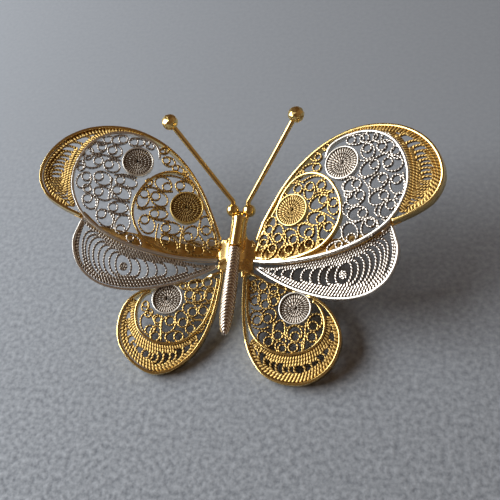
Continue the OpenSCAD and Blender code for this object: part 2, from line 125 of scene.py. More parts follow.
@dataclass(frozen=True)
class Finish:
    """How a metal surface is finished.

    Attributes:
        name: The material's name.
        slot: Name of its material slot; not used.
        metal: Gold or silver.
        roughness: Roughness of the metal.
        shade_colour: Colour of the painted shade in the grooves and hollows.
        mottle: How much the tone varies over the surface, as a share.
        scratch: Strength of the fine scratches and hammering.
        grain: Size of that grain in millimetres.
        patch: Size of the patches of paler and deeper tone, as a multiple of the grain.
        shade_fade: How far out of the grooves the painted shade colour ends and the metal's own tone begins,
            as two shares.
        polish: Least and most roughness, as shares of the surface's own.
        relief: Depth of the scratches in millimetres.
    """

    name: str
    slot: str
    metal: Metal
    roughness: float
    shade_colour: tuple[float, float, float]
    mottle: float = 0.12
    scratch: float = 0.12
    grain: float = 0.35
    patch: float = 6
    shade_fade: tuple[float, float] = (0.05, 0.75)
    polish: tuple[float, float] = (0.75, 1.35)
    relief: float = 0.02

    def material(self) -> bpy.types.Material:
        """Builds the node tree, once for each finish.

        Returns:
            The material, with painted shade that darkens it in the grooves and a fine uneven polish.
        """
        made = bpy.data.materials.get(self.name)
        if made:
            return made
        made = bpy.data.materials.new(self.name)
        made.use_nodes = True
        tree = made.node_tree
        add = partial(added, tree)
        place = add("TexCoord", "Object")
        broad, fine = (add("TexNoise", "Fac", {"Vector": place, "Scale": 1 / (size * MM), "Detail": detail})
                       for size, detail in ((self.patch * self.grain, 3), (self.grain, 4)))
        # Painted shade: where the mesh's unshaded value is low, in grooves and hollows, the colour goes to
        # the shade colour
        unshaded = add("Attribute", "Fac", attribute_name="unshaded")
        first, last = self.shade_fade
        out_of_shade = add("MapRange", "Result", {"Value": unshaded, "From Min": first, "From Max": last},
                   interpolation_type="SMOOTHSTEP")
        dimmer, bright = self.tone(1 - self.mottle), self.tone(1 + self.mottle)
        metal_tone = add("Mix", "Result", {"Factor": broad, "A": dimmer, "B": bright}, data_type="RGBA")
        colour = add("Mix", "Result", {"Factor": out_of_shade, "A": (*self.shade_colour, 1), "B": metal_tone}, data_type="RGBA")
        least, most = (self.roughness * share for share in self.polish)
        rough = add("MapRange", "Result", {"Value": fine, "To Min": least, "To Max": most})
        bump = add("Bump", "Normal", {"Height": fine, "Strength": self.scratch, "Distance": self.relief * MM})
        fill(tree, tree.nodes["Principled BSDF"],
             {"Metallic": 1.0, "Base Color": colour, "Roughness": rough, "Normal": bump})
        return made

    def tone(self, share: float) -> tuple[float, ...]:
        """Returns the metal's colour, made paler or deeper by a share."""
        return (*(min(1.0, part * share) for part in self.metal.value), 1.0)


# The fifth value of each finish is the colour of its painted shade
GOLD_POLISHED = Finish("polished gold", "gold_polished", Metal.GOLD, 0.19,
                       (0.42, 0.22, 0.06), 0.08, 0.06, 0.8)
GOLD_CAST = Finish("cast gold", "gold_polished", Metal.RED_GOLD, 0.27,
                   (0.42, 0.22, 0.06), 0.14, 0.12, 0.4)
GOLD_SHEET = Finish("brushed gold sheet", "gold_polished", Metal.RED_GOLD, 0.66,
                    (0.5, 0.24, 0.06), 0.14, 0.3, 0.3)
GOLD_WIRE = Finish("twisted gold wire", "gold_wire", Metal.WIRE_GOLD, 0.34, (0.2, 0.1, 0.025))
GOLD_LACE = Finish("packed gold wire", "gold_wire", Metal.WIRE_GOLD, 0.5, (0.16, 0.07, 0.015))
GOLD_COIL = Finish("coiled gold wire", "gold_coil", Metal.GOLD, 0.4, (0.12, 0.05, 0.015), 0.15)
SILVER_POLISHED = Finish("polished silver", "silver_polished", Metal.SILVER, 0.3,
                         (0.40, 0.34, 0.28), 0.08, 0.08, 0.8)
SILVER_WIRE = Finish("twisted silver wire", "silver_wire", Metal.WIRE_SILVER, 0.34, (0.16, 0.12, 0.09))
SILVER_LACE = Finish("packed silver wire", "silver_wire", Metal.WIRE_SILVER, 0.29, (0.08, 0.05, 0.035))
SILVER_COIL = Finish("coiled silver wire", "silver_coil", Metal.SILVER, 0.4, (0.12, 0.08, 0.05), 0.15)
SILVER_PLAIT = Finish("plaited silver wire", "silver_wire", Metal.SILVER, 0.27, (0.34, 0.22, 0.15), 0.15)
PIN_METAL = Finish("plain pin metal", "pin_metal", Metal.SILVER, 0.3, (0.3, 0.27, 0.22), 0.1, 0.15, 0.5)


# Curves in a wing's plane, as rows of (out, forward) in millimetres


def through(stations: Array, closed: bool = False, steps: int = STEPS) -> Array:
    """Draws a smooth curve through stations.

    Args:
        stations: The points to pass through.
        closed: Whether the curve comes back to its start.
        steps: Points between two stations.

    Returns:
        The points of the curve.
    """
    p = np.asarray(stations, float)
    before = np.roll(p, 1, 0) if closed else np.vstack([p[:1], p[:-1]])
    after = np.roll(p, -1, 0) if closed else np.vstack([p[1:], p[-1:]])
    last = np.roll(p, -2, 0) if closed else np.vstack([p[2:], p[-1:], p[-1:]])
    spans = len(p) if closed else len(p) - 1
    t = (np.arange(steps) / steps)[None, :, None]
    a, b, c, d = (q[:spans, None, :] for q in (before, p, after, last))
    square, cube = (2 * a - 5 * b + 4 * c - d) * t ** 2, (3 * b - a - 3 * c + d) * t ** 3
    curve = 0.5 * (2 * b + (c - a) * t + square + cube)
    curve = curve.reshape(-1, p.shape[1])
    return curve if closed else np.vstack([curve, p[-1:]])


def lengths(curve: Array) -> Array:
    """Returns the distance along a curve at each of its points."""
    return np.concatenate([[0], np.cumsum(np.linalg.norm(np.diff(curve, axis=0), axis=1))])


def spaced(curve: Array, spacing: float, closed: bool = False) -> Array:
    """Spreads points evenly along a curve.

    Args:
        curve: The points, of which the first two or three columns are the place.
        spacing: About how far apart the new points are.
        closed: Whether the curve comes back to its start.

    Returns:
        The new points. A closed curve doesn't repeat its first one.
    """
    path = np.vstack([curve, curve[:1]]) if closed else curve
    along = lengths(path)
    count = max(int(round(along[-1] / spacing)), 3)
    at = np.linspace(0, along[-1], count + 1)[: count if closed else count + 1]
    return np.stack([np.interp(at, along, column) for column in path.T], axis=1)


def relaxed(curve: Array, passes: int, closed: bool = False) -> Array:
    """Rounds the small corners of a curve by averaging neighbours.

    Args:
        curve: The points.
        passes: How often each point moves halfway to its neighbours' middle.
        closed: Whether the curve comes back to its start.

    Returns:
        The rounded curve.
    """
    for _ in range(passes):
        middle = (np.roll(curve, 1, 0) + np.roll(curve, -1, 0)) / 2
        moved = (curve + middle) / 2
        if not closed:
            moved[[0, -1]] = curve[[0, -1]]
        curve = moved
    return curve


def inward(curve: Array, closed: bool = False) -> Array:
    """Works out the directions that point into the wing, for an outline that runs clockwise.

    Args:
        curve: The outline's points.
        closed: Whether it comes back to its start.

    Returns:
        A direction of length 1 for each point.
    """
    before = np.roll(curve, 1, 0)
    after = np.roll(curve, -1, 0)
    if not closed:
        before[0], after[-1] = curve[0], curve[-1]
    along = after - before
    along /= np.linalg.norm(along, axis=1, keepdims=True)
    return np.stack([along[:, 1], -along[:, 0]], axis=1)


def inset(curve: Array, distance: float | Array, closed: bool = False) -> Array:
    """Returns a curve moved into the wing by a distance, or by a column with one distance for each point."""
    return curve + inward(curve, closed) * distance


def keep_inside(curve: Array, outline: Array, distance: float) -> Array:
    """Moves what comes too close to an outline, so that nested strips never meet.

    Args:
        curve: The points to keep clear.
        outline: The outline around them, which runs clockwise.
        distance: The least distance from it.

    Returns:
        The curve, with the points past the outline's ends left where they were.
    """
    gap = np.linalg.norm(curve[:, None] - outline[None], axis=2)
    near = gap.argmin(axis=1)
    into = inward(outline)[near]
    depth = ((curve - outline[near]) * into).sum(axis=1)
    short = (depth < distance) & (near > 0) & (near < len(outline) - 1)
    return curve + into * np.where(short, distance - depth, 0)[:, None]


def nearest(curve: Array, spot: Array | tuple[float, float]) -> int:
    """Returns the number of a curve's point that is nearest to a place."""
    return int(np.linalg.norm(curve - np.array(spot), axis=1).argmin())


def between(curve: Array, start: tuple[float, float], end: tuple[float, float]) -> Array:
    """Returns the part of a curve between its points nearest to two places, in the curve's order."""
    return curve[nearest(curve, start):nearest(curve, end) + 1]


def drawn(table: Sequence[tuple[float, float]], reach: float, low: float, chord: float,
          closed: bool = False) -> Array:
    """Returns a smooth curve through shares of the reach and, from the low edge up, of the chord."""
    return through(np.array(table) * (reach, chord) + (0, low), closed)


# Meshes, collected as points, faces and how far each point stands out of the grooves


@dataclass
class Shape:
    """The points and faces of one mesh.

    Attributes:
        points: Blocks of points, in millimetres.
        faces: Faces, as tuples of point numbers.
        unshaded: For each point, how far it stays out of the painted shade: 0 in a groove, 1 on a ridge.
        count: How many points there are so far.
    """

    points: list[Array] = field(default_factory=list)
    faces: list[tuple[int, ...]] = field(default_factory=list)
    unshaded: list[Array] = field(default_factory=list)
    count: int = 0

    def add(self, points: Array, faces: list[tuple[int, ...]], unshaded: Array | float = 1.0) -> None:
        """Adds points, and faces that number them from 0.

        Args:
            points: Rows of three coordinates.
            faces: Tuples of point numbers.
            unshaded: The painted shade mask, one value for each point, or one for all.
        """
        self.points.append(points)
        self.unshaded.append(np.broadcast_to(np.asarray(unshaded, float), (len(points),)))
        self.faces.extend(tuple(i + self.count for i in face) for face in faces)
        self.count += len(points)

    def skin(self, rings: Array, closed: bool, unshaded: Array | float = 1.0) -> None:
        """Joins rings of points into a tube.

        Args:
            rings: An array of rings by points by coordinates.
            closed: Whether the last ring joins the first.
            unshaded: The painted shade mask, one value for each point, ring after ring, or one for all.
        """
        n, m, _ = rings.shape
        i, j = np.meshgrid(np.arange(n if closed else n - 1), np.arange(m), indexing="ij")
        i2, j2 = (i + 1) % n, (j + 1) % m
        quads = np.stack([i * m + j, i2 * m + j, i2 * m + j2, i * m + j2], axis=-1).reshape(-1, 4)
        faces = list(map(tuple, quads.tolist()))
        if not closed:
            faces.append(tuple(range(m)))
            faces.append(tuple(range(n * m - 1, (n - 1) * m - 1, -1)))
        self.add(rings.reshape(-1, 3), faces, unshaded)

    def piece(self, name: str, finish: Finish, *nodes: str) -> bpy.types.Object:
        """Makes the object, dresses it and ties it to the frame.

        Args:
            name: The piece's name.
            finish: Its finish.
            nodes: The nodes that it stands for.

        Returns:
            The new object.
        """
        mesh = bpy.data.meshes.new(name)
        points = np.vstack(self.points) * MM
        mesh.from_pydata(points, [], self.faces)
        # The painted shade mask, stored on the mesh for its material
        values = mesh.attributes.new("unshaded", "FLOAT", "POINT")
        values.data.foreach_set("value", np.concatenate(self.unshaded).astype(np.float32))
        mesh.materials.append(finish.material())
        mesh.validate()
        mesh.shade_smooth()
        made = bpy.data.objects.new(name, mesh)
        bpy.context.scene.collection.objects.link(made)
        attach(made, BODY)
        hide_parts(*nodes)
        LOG.info("%s: %d points, %d faces", name, len(points), len(self.faces))
        return made


def swept(path: Array, section: Array, closed: bool) -> Array:
    """Sets a cross-section along a path that lies flat in a wing's plane.

    Args:
        path: Rows of (out, forward, up).
        section: Rings by points by (sideways, up), or points by the same for all rings.
        closed: Whether the path comes back to its start.

    Returns:
        Rings by points by three coordinates.
    """
    across = np.zeros_like(path)
    across[:, :2] = inward(path[:, :2], closed)
    section = np.broadcast_to(section, (len(path), *section.shape[-2:]))
    up = np.array([0.0, 0.0, 1.0])
    return path[:, None, :] + across[:, None, :] * section[..., :1] + up * section[..., 1:]


@dataclass(frozen=True)
class Strip:
    """A polished strip that stands on edge, with a rounded top.

    Attributes:
        wall: Its thickness, seen from above.
        depth: Its height.
        bevel: How much its top edges are rounded off.
        chamfer: How much its lower edges are cut off.
        spacing: Distance between its sections.
    """

    wall: float
    depth: float
    bevel: float = 0.045
    chamfer: float = 0.05
    spacing: float = 0.16

    # One half of the filed top, from the wall to the middle: in from the wall and up from the top, in bevels
    TOP = ((0, -2), (0.15, -1), (0.5, -0.3), (1, 0))

    def section(self) -> Array:
        """Draws the outline of the strip's end, with its filed top edge at 0.

        Returns:
            Rows of (across, up).
        """
        half, foot = self.wall / 2, -self.depth
        rise = np.array(self.TOP) * self.bevel - (half, 0)
        crest = np.array([(0, 0.1 * self.bevel)])
        fall = rise[::-1] * (-1, 1)
        low = np.array([(half, foot + self.chamfer), (half - self.chamfer, foot)])
        return np.vstack([rise, crest, fall, low, low[::-1] * (-1, 1)])

    def along(self, shape: Shape, outline: Array, closed: bool = False, dip: Array | None = None) -> None:
        """Adds the strip along an outline, on its inner side.

        Args:
            shape: The mesh that takes it.
            outline: The strip's outer edge, in the wing's plane.
            closed: Whether it comes back to its start.
            dip: How far its top edge is filed down at each point of the outline.
        """
        edge = inset(outline, self.wall / 2, closed)
        filed = np.zeros(len(edge)) if dip is None else dip
        middle = spaced(np.column_stack([edge, filed]), self.spacing, closed)
        section = np.repeat(self.section()[None], len(middle), axis=0)
        section[:, :2 * len(self.TOP) + 1, 1] -= middle[:, 2:]
        path = np.column_stack([middle[:, :2], np.zeros(len(middle))])
        shape.skin(swept(path, section, closed), closed)


@dataclass(frozen=True)
class TwistedWire:
    """Two fine wires twisted together and rolled flat, which stand on edge.

    Attributes:
        width: Its thickness, seen from above.
        height: Its height.
        lay: Distance from one bead of the twist to the next.
        bead: How deep the grooves between the beads are, as a share of the width.
        skew: How far the grooves slant, in radians of the twist from one side to the middle.
        crown: How much lower the grooves lie than the beads, as a share of the width.
        square: How square the shoulders of its top are, from 0 to 1.
    """

    width: float
    height: float
    lay: float = 0.44
    bead: float = 0.34
    skew: float = 1.2
    crown: float = 0.10
    square: float = 0.0

    # Points round a section that is rolled flat on top, as shares of half the width and half the height
    WIDE = np.array([0.98, 0.72, 0, -0.72, -0.98, -0.8, 0.8])
    TALL = np.array([0.70, 0.98, 1.03, 0.98, 0.70, -1, -1])
    SECTIONS_IN_A_LAY = 4

    def along(self, shape: Shape, path: Array, closed: bool = False, top: float | Array = -0.12,
              slim: Array | None = None, lean: tuple[float, float] = (0.0, 0.0)) -> None:
        """Adds the wire along a path.

        Args:
            shape: The mesh that takes it.
            path: Rows of (out, forward) or (out, forward, length that the twist follows).
            closed: Whether it comes back to its start.
            top: Height of its top edge.
            slim: Width at each point of the path, as a share of the wire's own.
            lean: How much its top falls outward and forward, for each millimetre.
        """
        rows = path if path.shape[1] > 2 else np.column_stack([path, lengths(path)])
        rows = np.column_stack([rows, np.ones(len(rows)) if slim is None else slim])
        points = spaced(rows, self.lay / self.SECTIONS_IN_A_LAY, closed)
        tall = np.where(self.TALL > 0, 1 - (1 - self.TALL) * (1 - self.square), self.TALL)
        phase = 2 * math.pi * points[:, 2:3] / self.lay
        bulge = 0.5 + 0.5 * np.cos(phase + self.skew * self.WIDE)
        width = self.width * points[:, 3:4]
        across = width / 2 * (1 - self.bead * (1 - bulge)) * self.WIDE
        fall = inward(points[:, :2], closed) @ np.array(lean)
        up = self.height / 2 * tall - self.crown * width * (1 - bulge) * (tall > 0) - fall[:, None] * across
        section = np.stack([across, up - self.height / 2], axis=-1)
        # Painted shade: the grooves between the beads are shaded, and the wire's sides, lying half in the
        # groove beside it, get half of it
        unshaded = bulge * np.where(tall > 0.8, 1.0, 0.5)
        flat = np.column_stack([points[:, :2], np.zeros(len(points)) + top])
        shape.skin(swept(flat, section, closed), closed, unshaded.ravel())


SCROLL_WIRE = TwistedWire(width=0.27, height=0.5)
LACE_WIRE = TwistedWire(width=0.26, height=0.5, lay=0.42, bead=0.05, skew=1.5, crown=0.22, square=0.75)


class Scroll(NamedTuple):
    """One scroll: a ring, and the oval that the same wire bends round it.

    Attributes:
        out: Middle of the ring, out from the body, in millimetres.
        fwd: Middle of the ring, towards the head.
        oval_out: Middle of the oval, out from the body.
        oval_fwd: Middle of the oval, towards the head.
        half: Half the oval's width, through the wire's middle.
        ring: Radius of the ring, through the wire's middle.
    """

    out: float
    fwd: float
    oval_out: float
    oval_fwd: float
    half: float = 1.0
    ring: float = 0.64


def scrolls(*rows: tuple[float, ...]) -> tuple[Scroll, ...]:
    """Returns the scrolls of a table, whose columns are in the order of a scroll's attributes."""
    return tuple(Scroll(*row) for row in rows)


@dataclass(frozen=True)
class ScrollField:
    """Scrolls that fill a field of the filigree.

    Attributes:
        scrolls: The scrolls.
        wires: Plain bends of wire between them, as points that each passes through.
        sweep: How far an oval goes round, in degrees.
        wire: The wire that they are bent from.
        spacing: Distance between the points that a scroll is drawn with.
        sunk: How far the highest wires lie below the strips' tops.
        step: How much lower the next wire lies, over three wires.
    """

    scrolls: tuple[Scroll, ...]
    wires: tuple[tuple[tuple[float, float], ...], ...] = ()
    sweep: float = 322
    wire: TwistedWire = SCROLL_WIRE
    spacing: float = 0.12
    sunk: float = 0.10
    step: float = 0.02

    # Degrees between the first points of a ring, and of an oval
    RING_STEP = 12
    OVAL_STEP = 8

    def path(self, scroll: Scroll, hand: int) -> Array:
        """Draws the middle line of one scroll's wire.

        Args:
            scroll: The scroll.
            hand: 1 or -1, the way that the wire turns.

        Returns:
            The points of the line, from the ring's start to the oval's end.
        """
        ring = np.array([scroll.out, scroll.fwd])
        reach = np.array([scroll.oval_out, scroll.oval_fwd]) - ring
        away = np.linalg.norm(reach)
        heading = math.atan2(reach[1], reach[0]) + math.pi
        start = np.radians(np.arange(0, 360, self.RING_STEP)) * hand
        loop = ring + scroll.ring * np.stack([np.cos(heading + start), np.sin(heading + start)], axis=1)
        bend = np.radians(np.arange(0, self.sweep + 1, self.OVAL_STEP)) * hand
        x, y = (scroll.ring + away) * np.cos(bend), scroll.half * np.sin(bend)
        oval = np.stack([x * math.cos(heading) - y * math.sin(heading),
                         x * math.sin(heading) + y * math.cos(heading)], axis=1)
        return relaxed(spaced(np.vstack([loop, ring + reach + oval]), self.spacing), 3)

    def paths(self) -> list[Array]:
        """Returns the middle lines of all the wires."""
        lines = [self.path(scroll, 1 if number % 2 else -1) for number, scroll in enumerate(self.scrolls)]
        return lines + [through(np.array(points)) for points in self.wires]

    def build(self, shape: Shape) -> None:
        """Adds the wires to a mesh, some a little lower than others, as bent wires lie."""
        for number, line in enumerate(self.paths()):
            self.wire.along(shape, line, top=-self.sunk - self.step * (number % 3))


@dataclass(frozen=True)
class LaceField:
    """Loops of wire nested round an eye between two rails, and packed in rows along both.

    Attributes:
        eye: Middle of the innermost ring, out and forward, or nothing.
        starts: Where each loop turns towards the rails' start, from the eye outward.
        ends: Where each loop turns towards the rails' end, in the same order.
        rows_a: Rows of wire along the first rail.
        rows_b: Rows of wire along the second rail.
        pitch_a: Distance between the rows along the first rail.
        pitch_b: Distance between the rows along the second rail.
        round_start: How long the turns near the start are, as a share of their half width.
        round_end: How long the turns near the end are.
        spread: How much wider the rows may get where few loops are left.
        dish: How much the rows fall from the rails towards the middle, for each millimetre.
        lean: How much the top of each wire falls outward and forward, for each millimetre.
        step: How much lower each loop lies than the next one inward.
        wire: The wire.
    """

    starts: tuple[tuple[float, float], ...]
    ends: tuple[tuple[float, float], ...]
    rows_a: int
    rows_b: int
    pitch_a: float
    pitch_b: float
    round_start: float = 1.0
    round_end: float = 1.0
    eye: tuple[float, float] | None = None
    spread: float = 1.0
    dish: float = 0.0
    lean: tuple[float, float] = (0.0, 0.0)
    step: float = 0.012
    wire: TwistedWire = LACE_WIRE

    RAIL_POINTS = 241
    # Degrees from the middle of a turn to its ends, and the points of a turn
    HALF_TURN = 85
    TURN_POINTS = 19
    # Points along a loop's straight runs, if they were as long as the rails, and the least number
    RUN_POINTS = (90, 6)
    # How much of the field is filled beyond the outermost loop, in loops
    OUTER_RANK = 0.6
    # Most of the distance between the rails that the rows may take
    FULL = 0.97
    # Width of the wire in a row, as a share of the row's, and in the middle of a turn, as a share of its own
    ROW_WIDTH = 1.02
    TURN_WIDTH = 0.95
    # Radii of the two rings of the eye, and how much narrower than long they are
    EYE_RINGS = (0.47, 0.2)
    EYE_SQUASH = 0.9

    def squeeze(self, grid: Array, width: Array, first: list[float], last: list[float]) -> Array:
        """Works out how much wider or narrower the rows are along the rails.

        Args:
            grid: Shares of the rails' length.
            width: Distance between the rails there.
            first: Where each loop turns near the rails' start, from the eye outward.
            last: Where each loop turns near the rails' end.

        Returns:
            The rows' pitch at each share, as a share of their own.
        """
        loops = len(first)
        marks = np.concatenate([[0], first[::-1], last, [1]])
        ranks = np.concatenate([[self.OUTER_RANK], np.arange(1, loops + 1), np.arange(loops, 0, -1),
                                [self.OUTER_RANK]])
        full = self.rows_a * self.pitch_a + self.rows_b * self.pitch_b
        filled = np.interp(grid, marks, ranks) / loops
        most = self.FULL * width / np.maximum(filled * full, 1e-6)
        return np.minimum(1 + (self.spread - 1) * (1 - filled), most)

    def build(self, shape: Shape, rail_a: Array, rail_b: Array, top: float = -0.12) -> None:
        """Adds the loops between two rails.

        Args:
            shape: The mesh that takes them.
            rail_a: The first rail, from start to end.
            rail_b: The second rail, from start to end.
            top: Height of the wires' top edges.
        """
        count = self.RAIL_POINTS
        a, b = (spaced(rail, lengths(rail)[-1] / (count - 1))[:count] for rail in (rail_a, rail_b))
        grid = np.linspace(0, 1, count)
        width = np.linalg.norm(b - a, axis=1)
        length = (lengths(a)[-1] + lengths(b)[-1]) / 2
        middle = (a + b) / 2
        first, last = ([float(grid[nearest(middle, spot)]) for spot in spots]
                       for spots in (self.starts, self.ends))
        squeeze = self.squeeze(grid, width, first, last)
        loops = len(first)

        def at(t: Array, h: Array) -> Array:
            """Returns points at shares of the rails' length and of the way between them."""
            pa = np.stack([np.interp(t, grid, column) for column in a.T], axis=1)
            pb = np.stack([np.interp(t, grid, column) for column in b.T], axis=1)
            return pa + (pb - pa) * h[:, None]

        for loop, (start, end) in enumerate(zip(first, last)):
            rank = loops - 1 - loop
            lane_a, lane_b = (rank * rows // loops + 0.5 for rows in (self.rows_a, self.rows_b))
            taken = lane_a * self.pitch_a + lane_b * self.pitch_b
            half = [np.interp(t, grid, width - taken * squeeze) / 2 for t in (start, end)]
            reach, finish = (min(long * max(h, 0.1) / length, 0.45 * (end - start))
                             for long, h in zip((self.round_start, self.round_end), half))
            many, least = self.RUN_POINTS
            out = np.linspace(start + reach, end - finish, max(int((end - start) * many), least))
            turn = np.radians(np.linspace(self.HALF_TURN, -self.HALF_TURN, self.TURN_POINTS))
            cap_end = end - finish + finish * np.cos(turn)
            cap_start = start + reach - reach * np.cos(turn)
            t = np.concatenate([out, cap_end, out[::-1], cap_start])
            # From the row along the first rail (1) over a turn to the row along the second (-1), and back
            place = np.concatenate([np.ones(len(out)), np.sin(turn), -np.ones(len(out)), -np.sin(turn)])
            room = np.interp(t, grid, squeeze) / np.interp(t, grid, np.maximum(width, 1e-3))
            low, high = lane_a * self.pitch_a * room, 1 - lane_b * self.pitch_b * room
            line = at(t, (low + high) / 2 - (high - low) / 2 * place)
            tight = np.interp(t, grid, squeeze) * np.where(place > 0, self.pitch_a, self.pitch_b)
            slim = self.ROW_WIDTH * tight / self.wire.width
            slim = np.abs(place) ** 3 * slim + (1 - np.abs(place) ** 3) * self.TURN_WIDTH
            line = relaxed(line, 2, closed=True)
            twist = self.twist(line, t * length, len(out), len(turn), (lane_a, lane_b))
            fall = self.dish * (lane_a * self.pitch_a + lane_b * self.pitch_b) / 2
            self.wire.along(shape, np.column_stack([line, twist]), closed=True,
                            top=top - fall - self.step * (loops - loop), slim=slim, lean=self.lean)
        if self.eye:
            turn = np.radians(np.arange(0, 361, 10))
            for radius in self.EYE_RINGS:
                ring = radius * np.stack([self.EYE_SQUASH * np.cos(turn), np.sin(turn)], axis=1)
                self.wire.along(shape, np.array(self.eye) + ring, top=top)

    def twist(self, line: Array, along: Array, run: int, bend: int, lanes: tuple[float, float]) -> Array:
        """Works out the length that a loop's twist follows, so that its ribs run on over the next loops.

        Args:
            line: The loop: out, round the end, back, and round the start.
            along: The rails' length at each of its points.
            run: Points on the way out, and on the way back.
            bend: Points in each turn.
            lanes: The loop's rows along the first and the second rail.

        Returns:
            The twist's length at each point. Both runs follow the rails, and each turn holds whole ribs.
        """
        lay = self.wire.lay
        lean_a, lean_b = (lane * self.wire.skew * lay / math.pi for lane in lanes)
        step = lengths(np.vstack([line, line[:1]]))
        first, last = run, run + bend
        back = lay * round((2 * along[run - 1] + step[last] - step[first - 1]) / lay)
        home = lay * round((back - 2 * along[0] + step[-1] - step[last + run - 1]) / lay)
        twist = np.concatenate([along[:run] + lean_a, np.zeros(bend), back - along[last:last + run] + lean_b,
                                np.zeros(bend)])
        known = np.r_[0:run, last:last + run]
        values = np.append(twist[known], home + along[0] + lean_a)
        return np.interp(step[:-1], np.append(step[known], step[-1]), values)


@dataclass(frozen=True)
class CoilDisc:
    """A shallow cup with a spiral of twisted wire laid in it.

    Attributes:
        out: Middle of the cup, out from the body.
        fwd: Middle of the cup, towards the head.
        d: Outer diameter.
        wall: Thickness of the cup's rim.
        depth: Height of the cup.
        pitch: Distance between the turns of the coil.
        sunk: How far the coil's top lies below the rim.
        clear: Gap between the coil and the rim.
        plate_low: Depth of the cup's floor below the rim, at its underside.
        plate_high: The same at its top.
        dimmer: How far the coil's wire stays out of the painted shade, as a share of the rim's; it lies sunk
            in the cup.
    """

    out: float
    fwd: float
    d: float
    wall: float = 0.22
    depth: float = 0.85
    pitch: float = 0.5
    sunk: float = 0.12
    clear: float = 0.03
    plate_low: float = 0.8
    plate_high: float = 0.6
    dimmer: float = 0.45

    POINTS_IN_A_TURN = 72
    # Least radius of a turn, and the number of ribs round it
    RIBS = ((1.3, 34), (0.75, 22), (0.0, 12))

    def build(self, shape: Shape) -> None:
        """Adds the cup's rim and floor, and the coil.

        Args:
            shape: The mesh that takes it.
        """
        turn = np.radians(np.arange(0, 360, 3))
        ring = np.stack([np.cos(turn), -np.sin(turn)], axis=1)
        middle = np.array([self.out, self.fwd])
        rim = np.column_stack([middle + ring * (self.d - self.wall) / 2, np.zeros(len(turn))])
        shape.skin(swept(rim, Strip(self.wall, self.depth).section(), True), True)
        self.plate(shape, middle)
        self.coil(shape, middle)

    def plate(self, shape: Shape, middle: Array) -> None:
        """Adds the cup's floor, a plain round plate under the coil.

        Args:
            shape: The mesh that takes it.
            middle: The cup's middle, out and forward.
        """
        turn = np.radians(np.arange(0, 360, 6))
        radius = self.d / 2 - self.wall / 2
        circle = middle + radius * np.stack([np.cos(turn), np.sin(turn)], axis=1)
        rings = np.stack([np.column_stack([circle, np.full(len(turn), -z)])
                          for z in (self.plate_low, self.plate_high)])
        # The floor under the coil is painted deep in shade
        shape.skin(rings, False, 0.2)

    def coil(self, shape: Shape, middle: Array) -> None:
        """Adds the spiral of twisted wire, whose ribs line up from turn to turn.

        Args:
            shape: The mesh that takes it.
            middle: The cup's middle, out and forward.
        """
        outer = self.d / 2 - self.wall - self.pitch * 0.5 - self.clear
        turns = outer / self.pitch + 1
        angle = np.linspace(0.5 * math.pi, 2 * math.pi * turns, int(turns * self.POINTS_IN_A_TURN))
        radius = np.minimum(self.pitch * angle / (2 * math.pi), outer)
        path = middle + radius[:, None] * np.stack([np.cos(angle), np.sin(angle)], axis=1)
        # A little wider than the pitch, so that the turns touch
        wire = TwistedWire(width=self.pitch * 1.02, height=0.42, lay=0.36, bead=0.05, skew=0.7, crown=0.13,
                           square=0.7)
        ribs = np.select([radius > least for least, _ in self.RIBS], [number for _, number in self.RIBS])
        along = np.concatenate([[0], np.cumsum(np.diff(angle) * ribs[1:])]) / (2 * math.pi) * wire.lay
        wire.along(shape, np.column_stack([path, along]), top=-self.sunk)
        # The coil is painted in deeper shade than the rim
        shape.unshaded[-1] = shape.unshaded[-1] * self.dimmer


@dataclass(frozen=True)
class WingPlane:
    """Where a wing's flat drawing lies in the brooch.

    Attributes:
        pitch: Nose-up tilt, in degrees.
        dihedral: Rise towards the tip, in degrees.
        datum: Height of the plane where it crosses the body's axis, above the brooch's datum.
    """

    pitch: float
    dihedral: float
    datum: float

    def place(self, shape: Shape, side: Side, seat: Vector) -> Shape:
        """Sets a flat drawing in its place.

        Args:
            shape: The drawing, in the wing's plane.
            side: The side of the brooch.
            seat: Where the brooch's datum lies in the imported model, in millimetres.

        Returns:
            The same shape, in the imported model's frame.
        """
        p, d = math.radians(self.pitch), math.radians(self.dihedral)
        out = np.array([math.cos(d), 0, math.sin(d)])
        fwd = np.array([-math.sin(d) * math.sin(p), math.cos(p), math.cos(d) * math.sin(p)])
        up = np.array([-math.sin(d) * math.cos(p), -math.sin(p), math.cos(d) * math.cos(p)])
        offset = np.array([0, 0, self.datum])
        tilted = [q[:, :1] * out + q[:, 1:2] * fwd + q[:, 2:] * up + offset for q in shape.points]
        mirror = np.array([side.value, 1, 1])
        shape.points = [q * mirror + np.array(seat) for q in tilted]
        if side is Side.LEFT:
            shape.faces = [face[::-1] for face in shape.faces]
        return shape


@dataclass
class Brooch:
    """The sizes that the sub-assemblies share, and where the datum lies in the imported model.

    Attributes:
        eye_d: Diameter of an eye.
        eye_gap: Gap between the eyes.
        join_gap: Gap at a solder joint.
        head_y: Where the thorax starts, forward of the datum.
        head_height: Height of its axis there.
        eye_drop: How far the eyes' middles lie below it.
        outer_wall: Thickness of the outer gold strips.
        inner_wall: Thickness of the other strips.
        inner_depth: Height of the inner strips.
        net_gap: Gap between a strip and the lace beside it.
        eye: Middle of the right eye, from the datum.
        seat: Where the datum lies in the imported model.
    """

    eye_d: float = 1.74
    eye_gap: float = 0.58
    join_gap: float = 0.08
    head_y: float = -2.2
    head_height: float = 3.75
    eye_drop: float = 0.05
    outer_wall: float = 0.38
    inner_wall: float = 0.33
    inner_depth: float = 0.8
    net_gap: float = 0.08
    eye: Vector = field(init=False)
    seat: Vector = field(init=False)

    def __post_init__(self) -> None:
        """Reads the datum from the right eye, which sits at a known place from it."""
        low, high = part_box("eye_right")
        eye = (low + high) / 2 / MM
        self.eye = Vector(((self.eye_d + self.eye_gap) / 2, self.head_y + self.eye_d / 2 + self.join_gap,
                           self.head_height - self.eye_drop))
        self.seat = Vector((0, eye.y - self.eye.y, eye.z - self.eye.z))


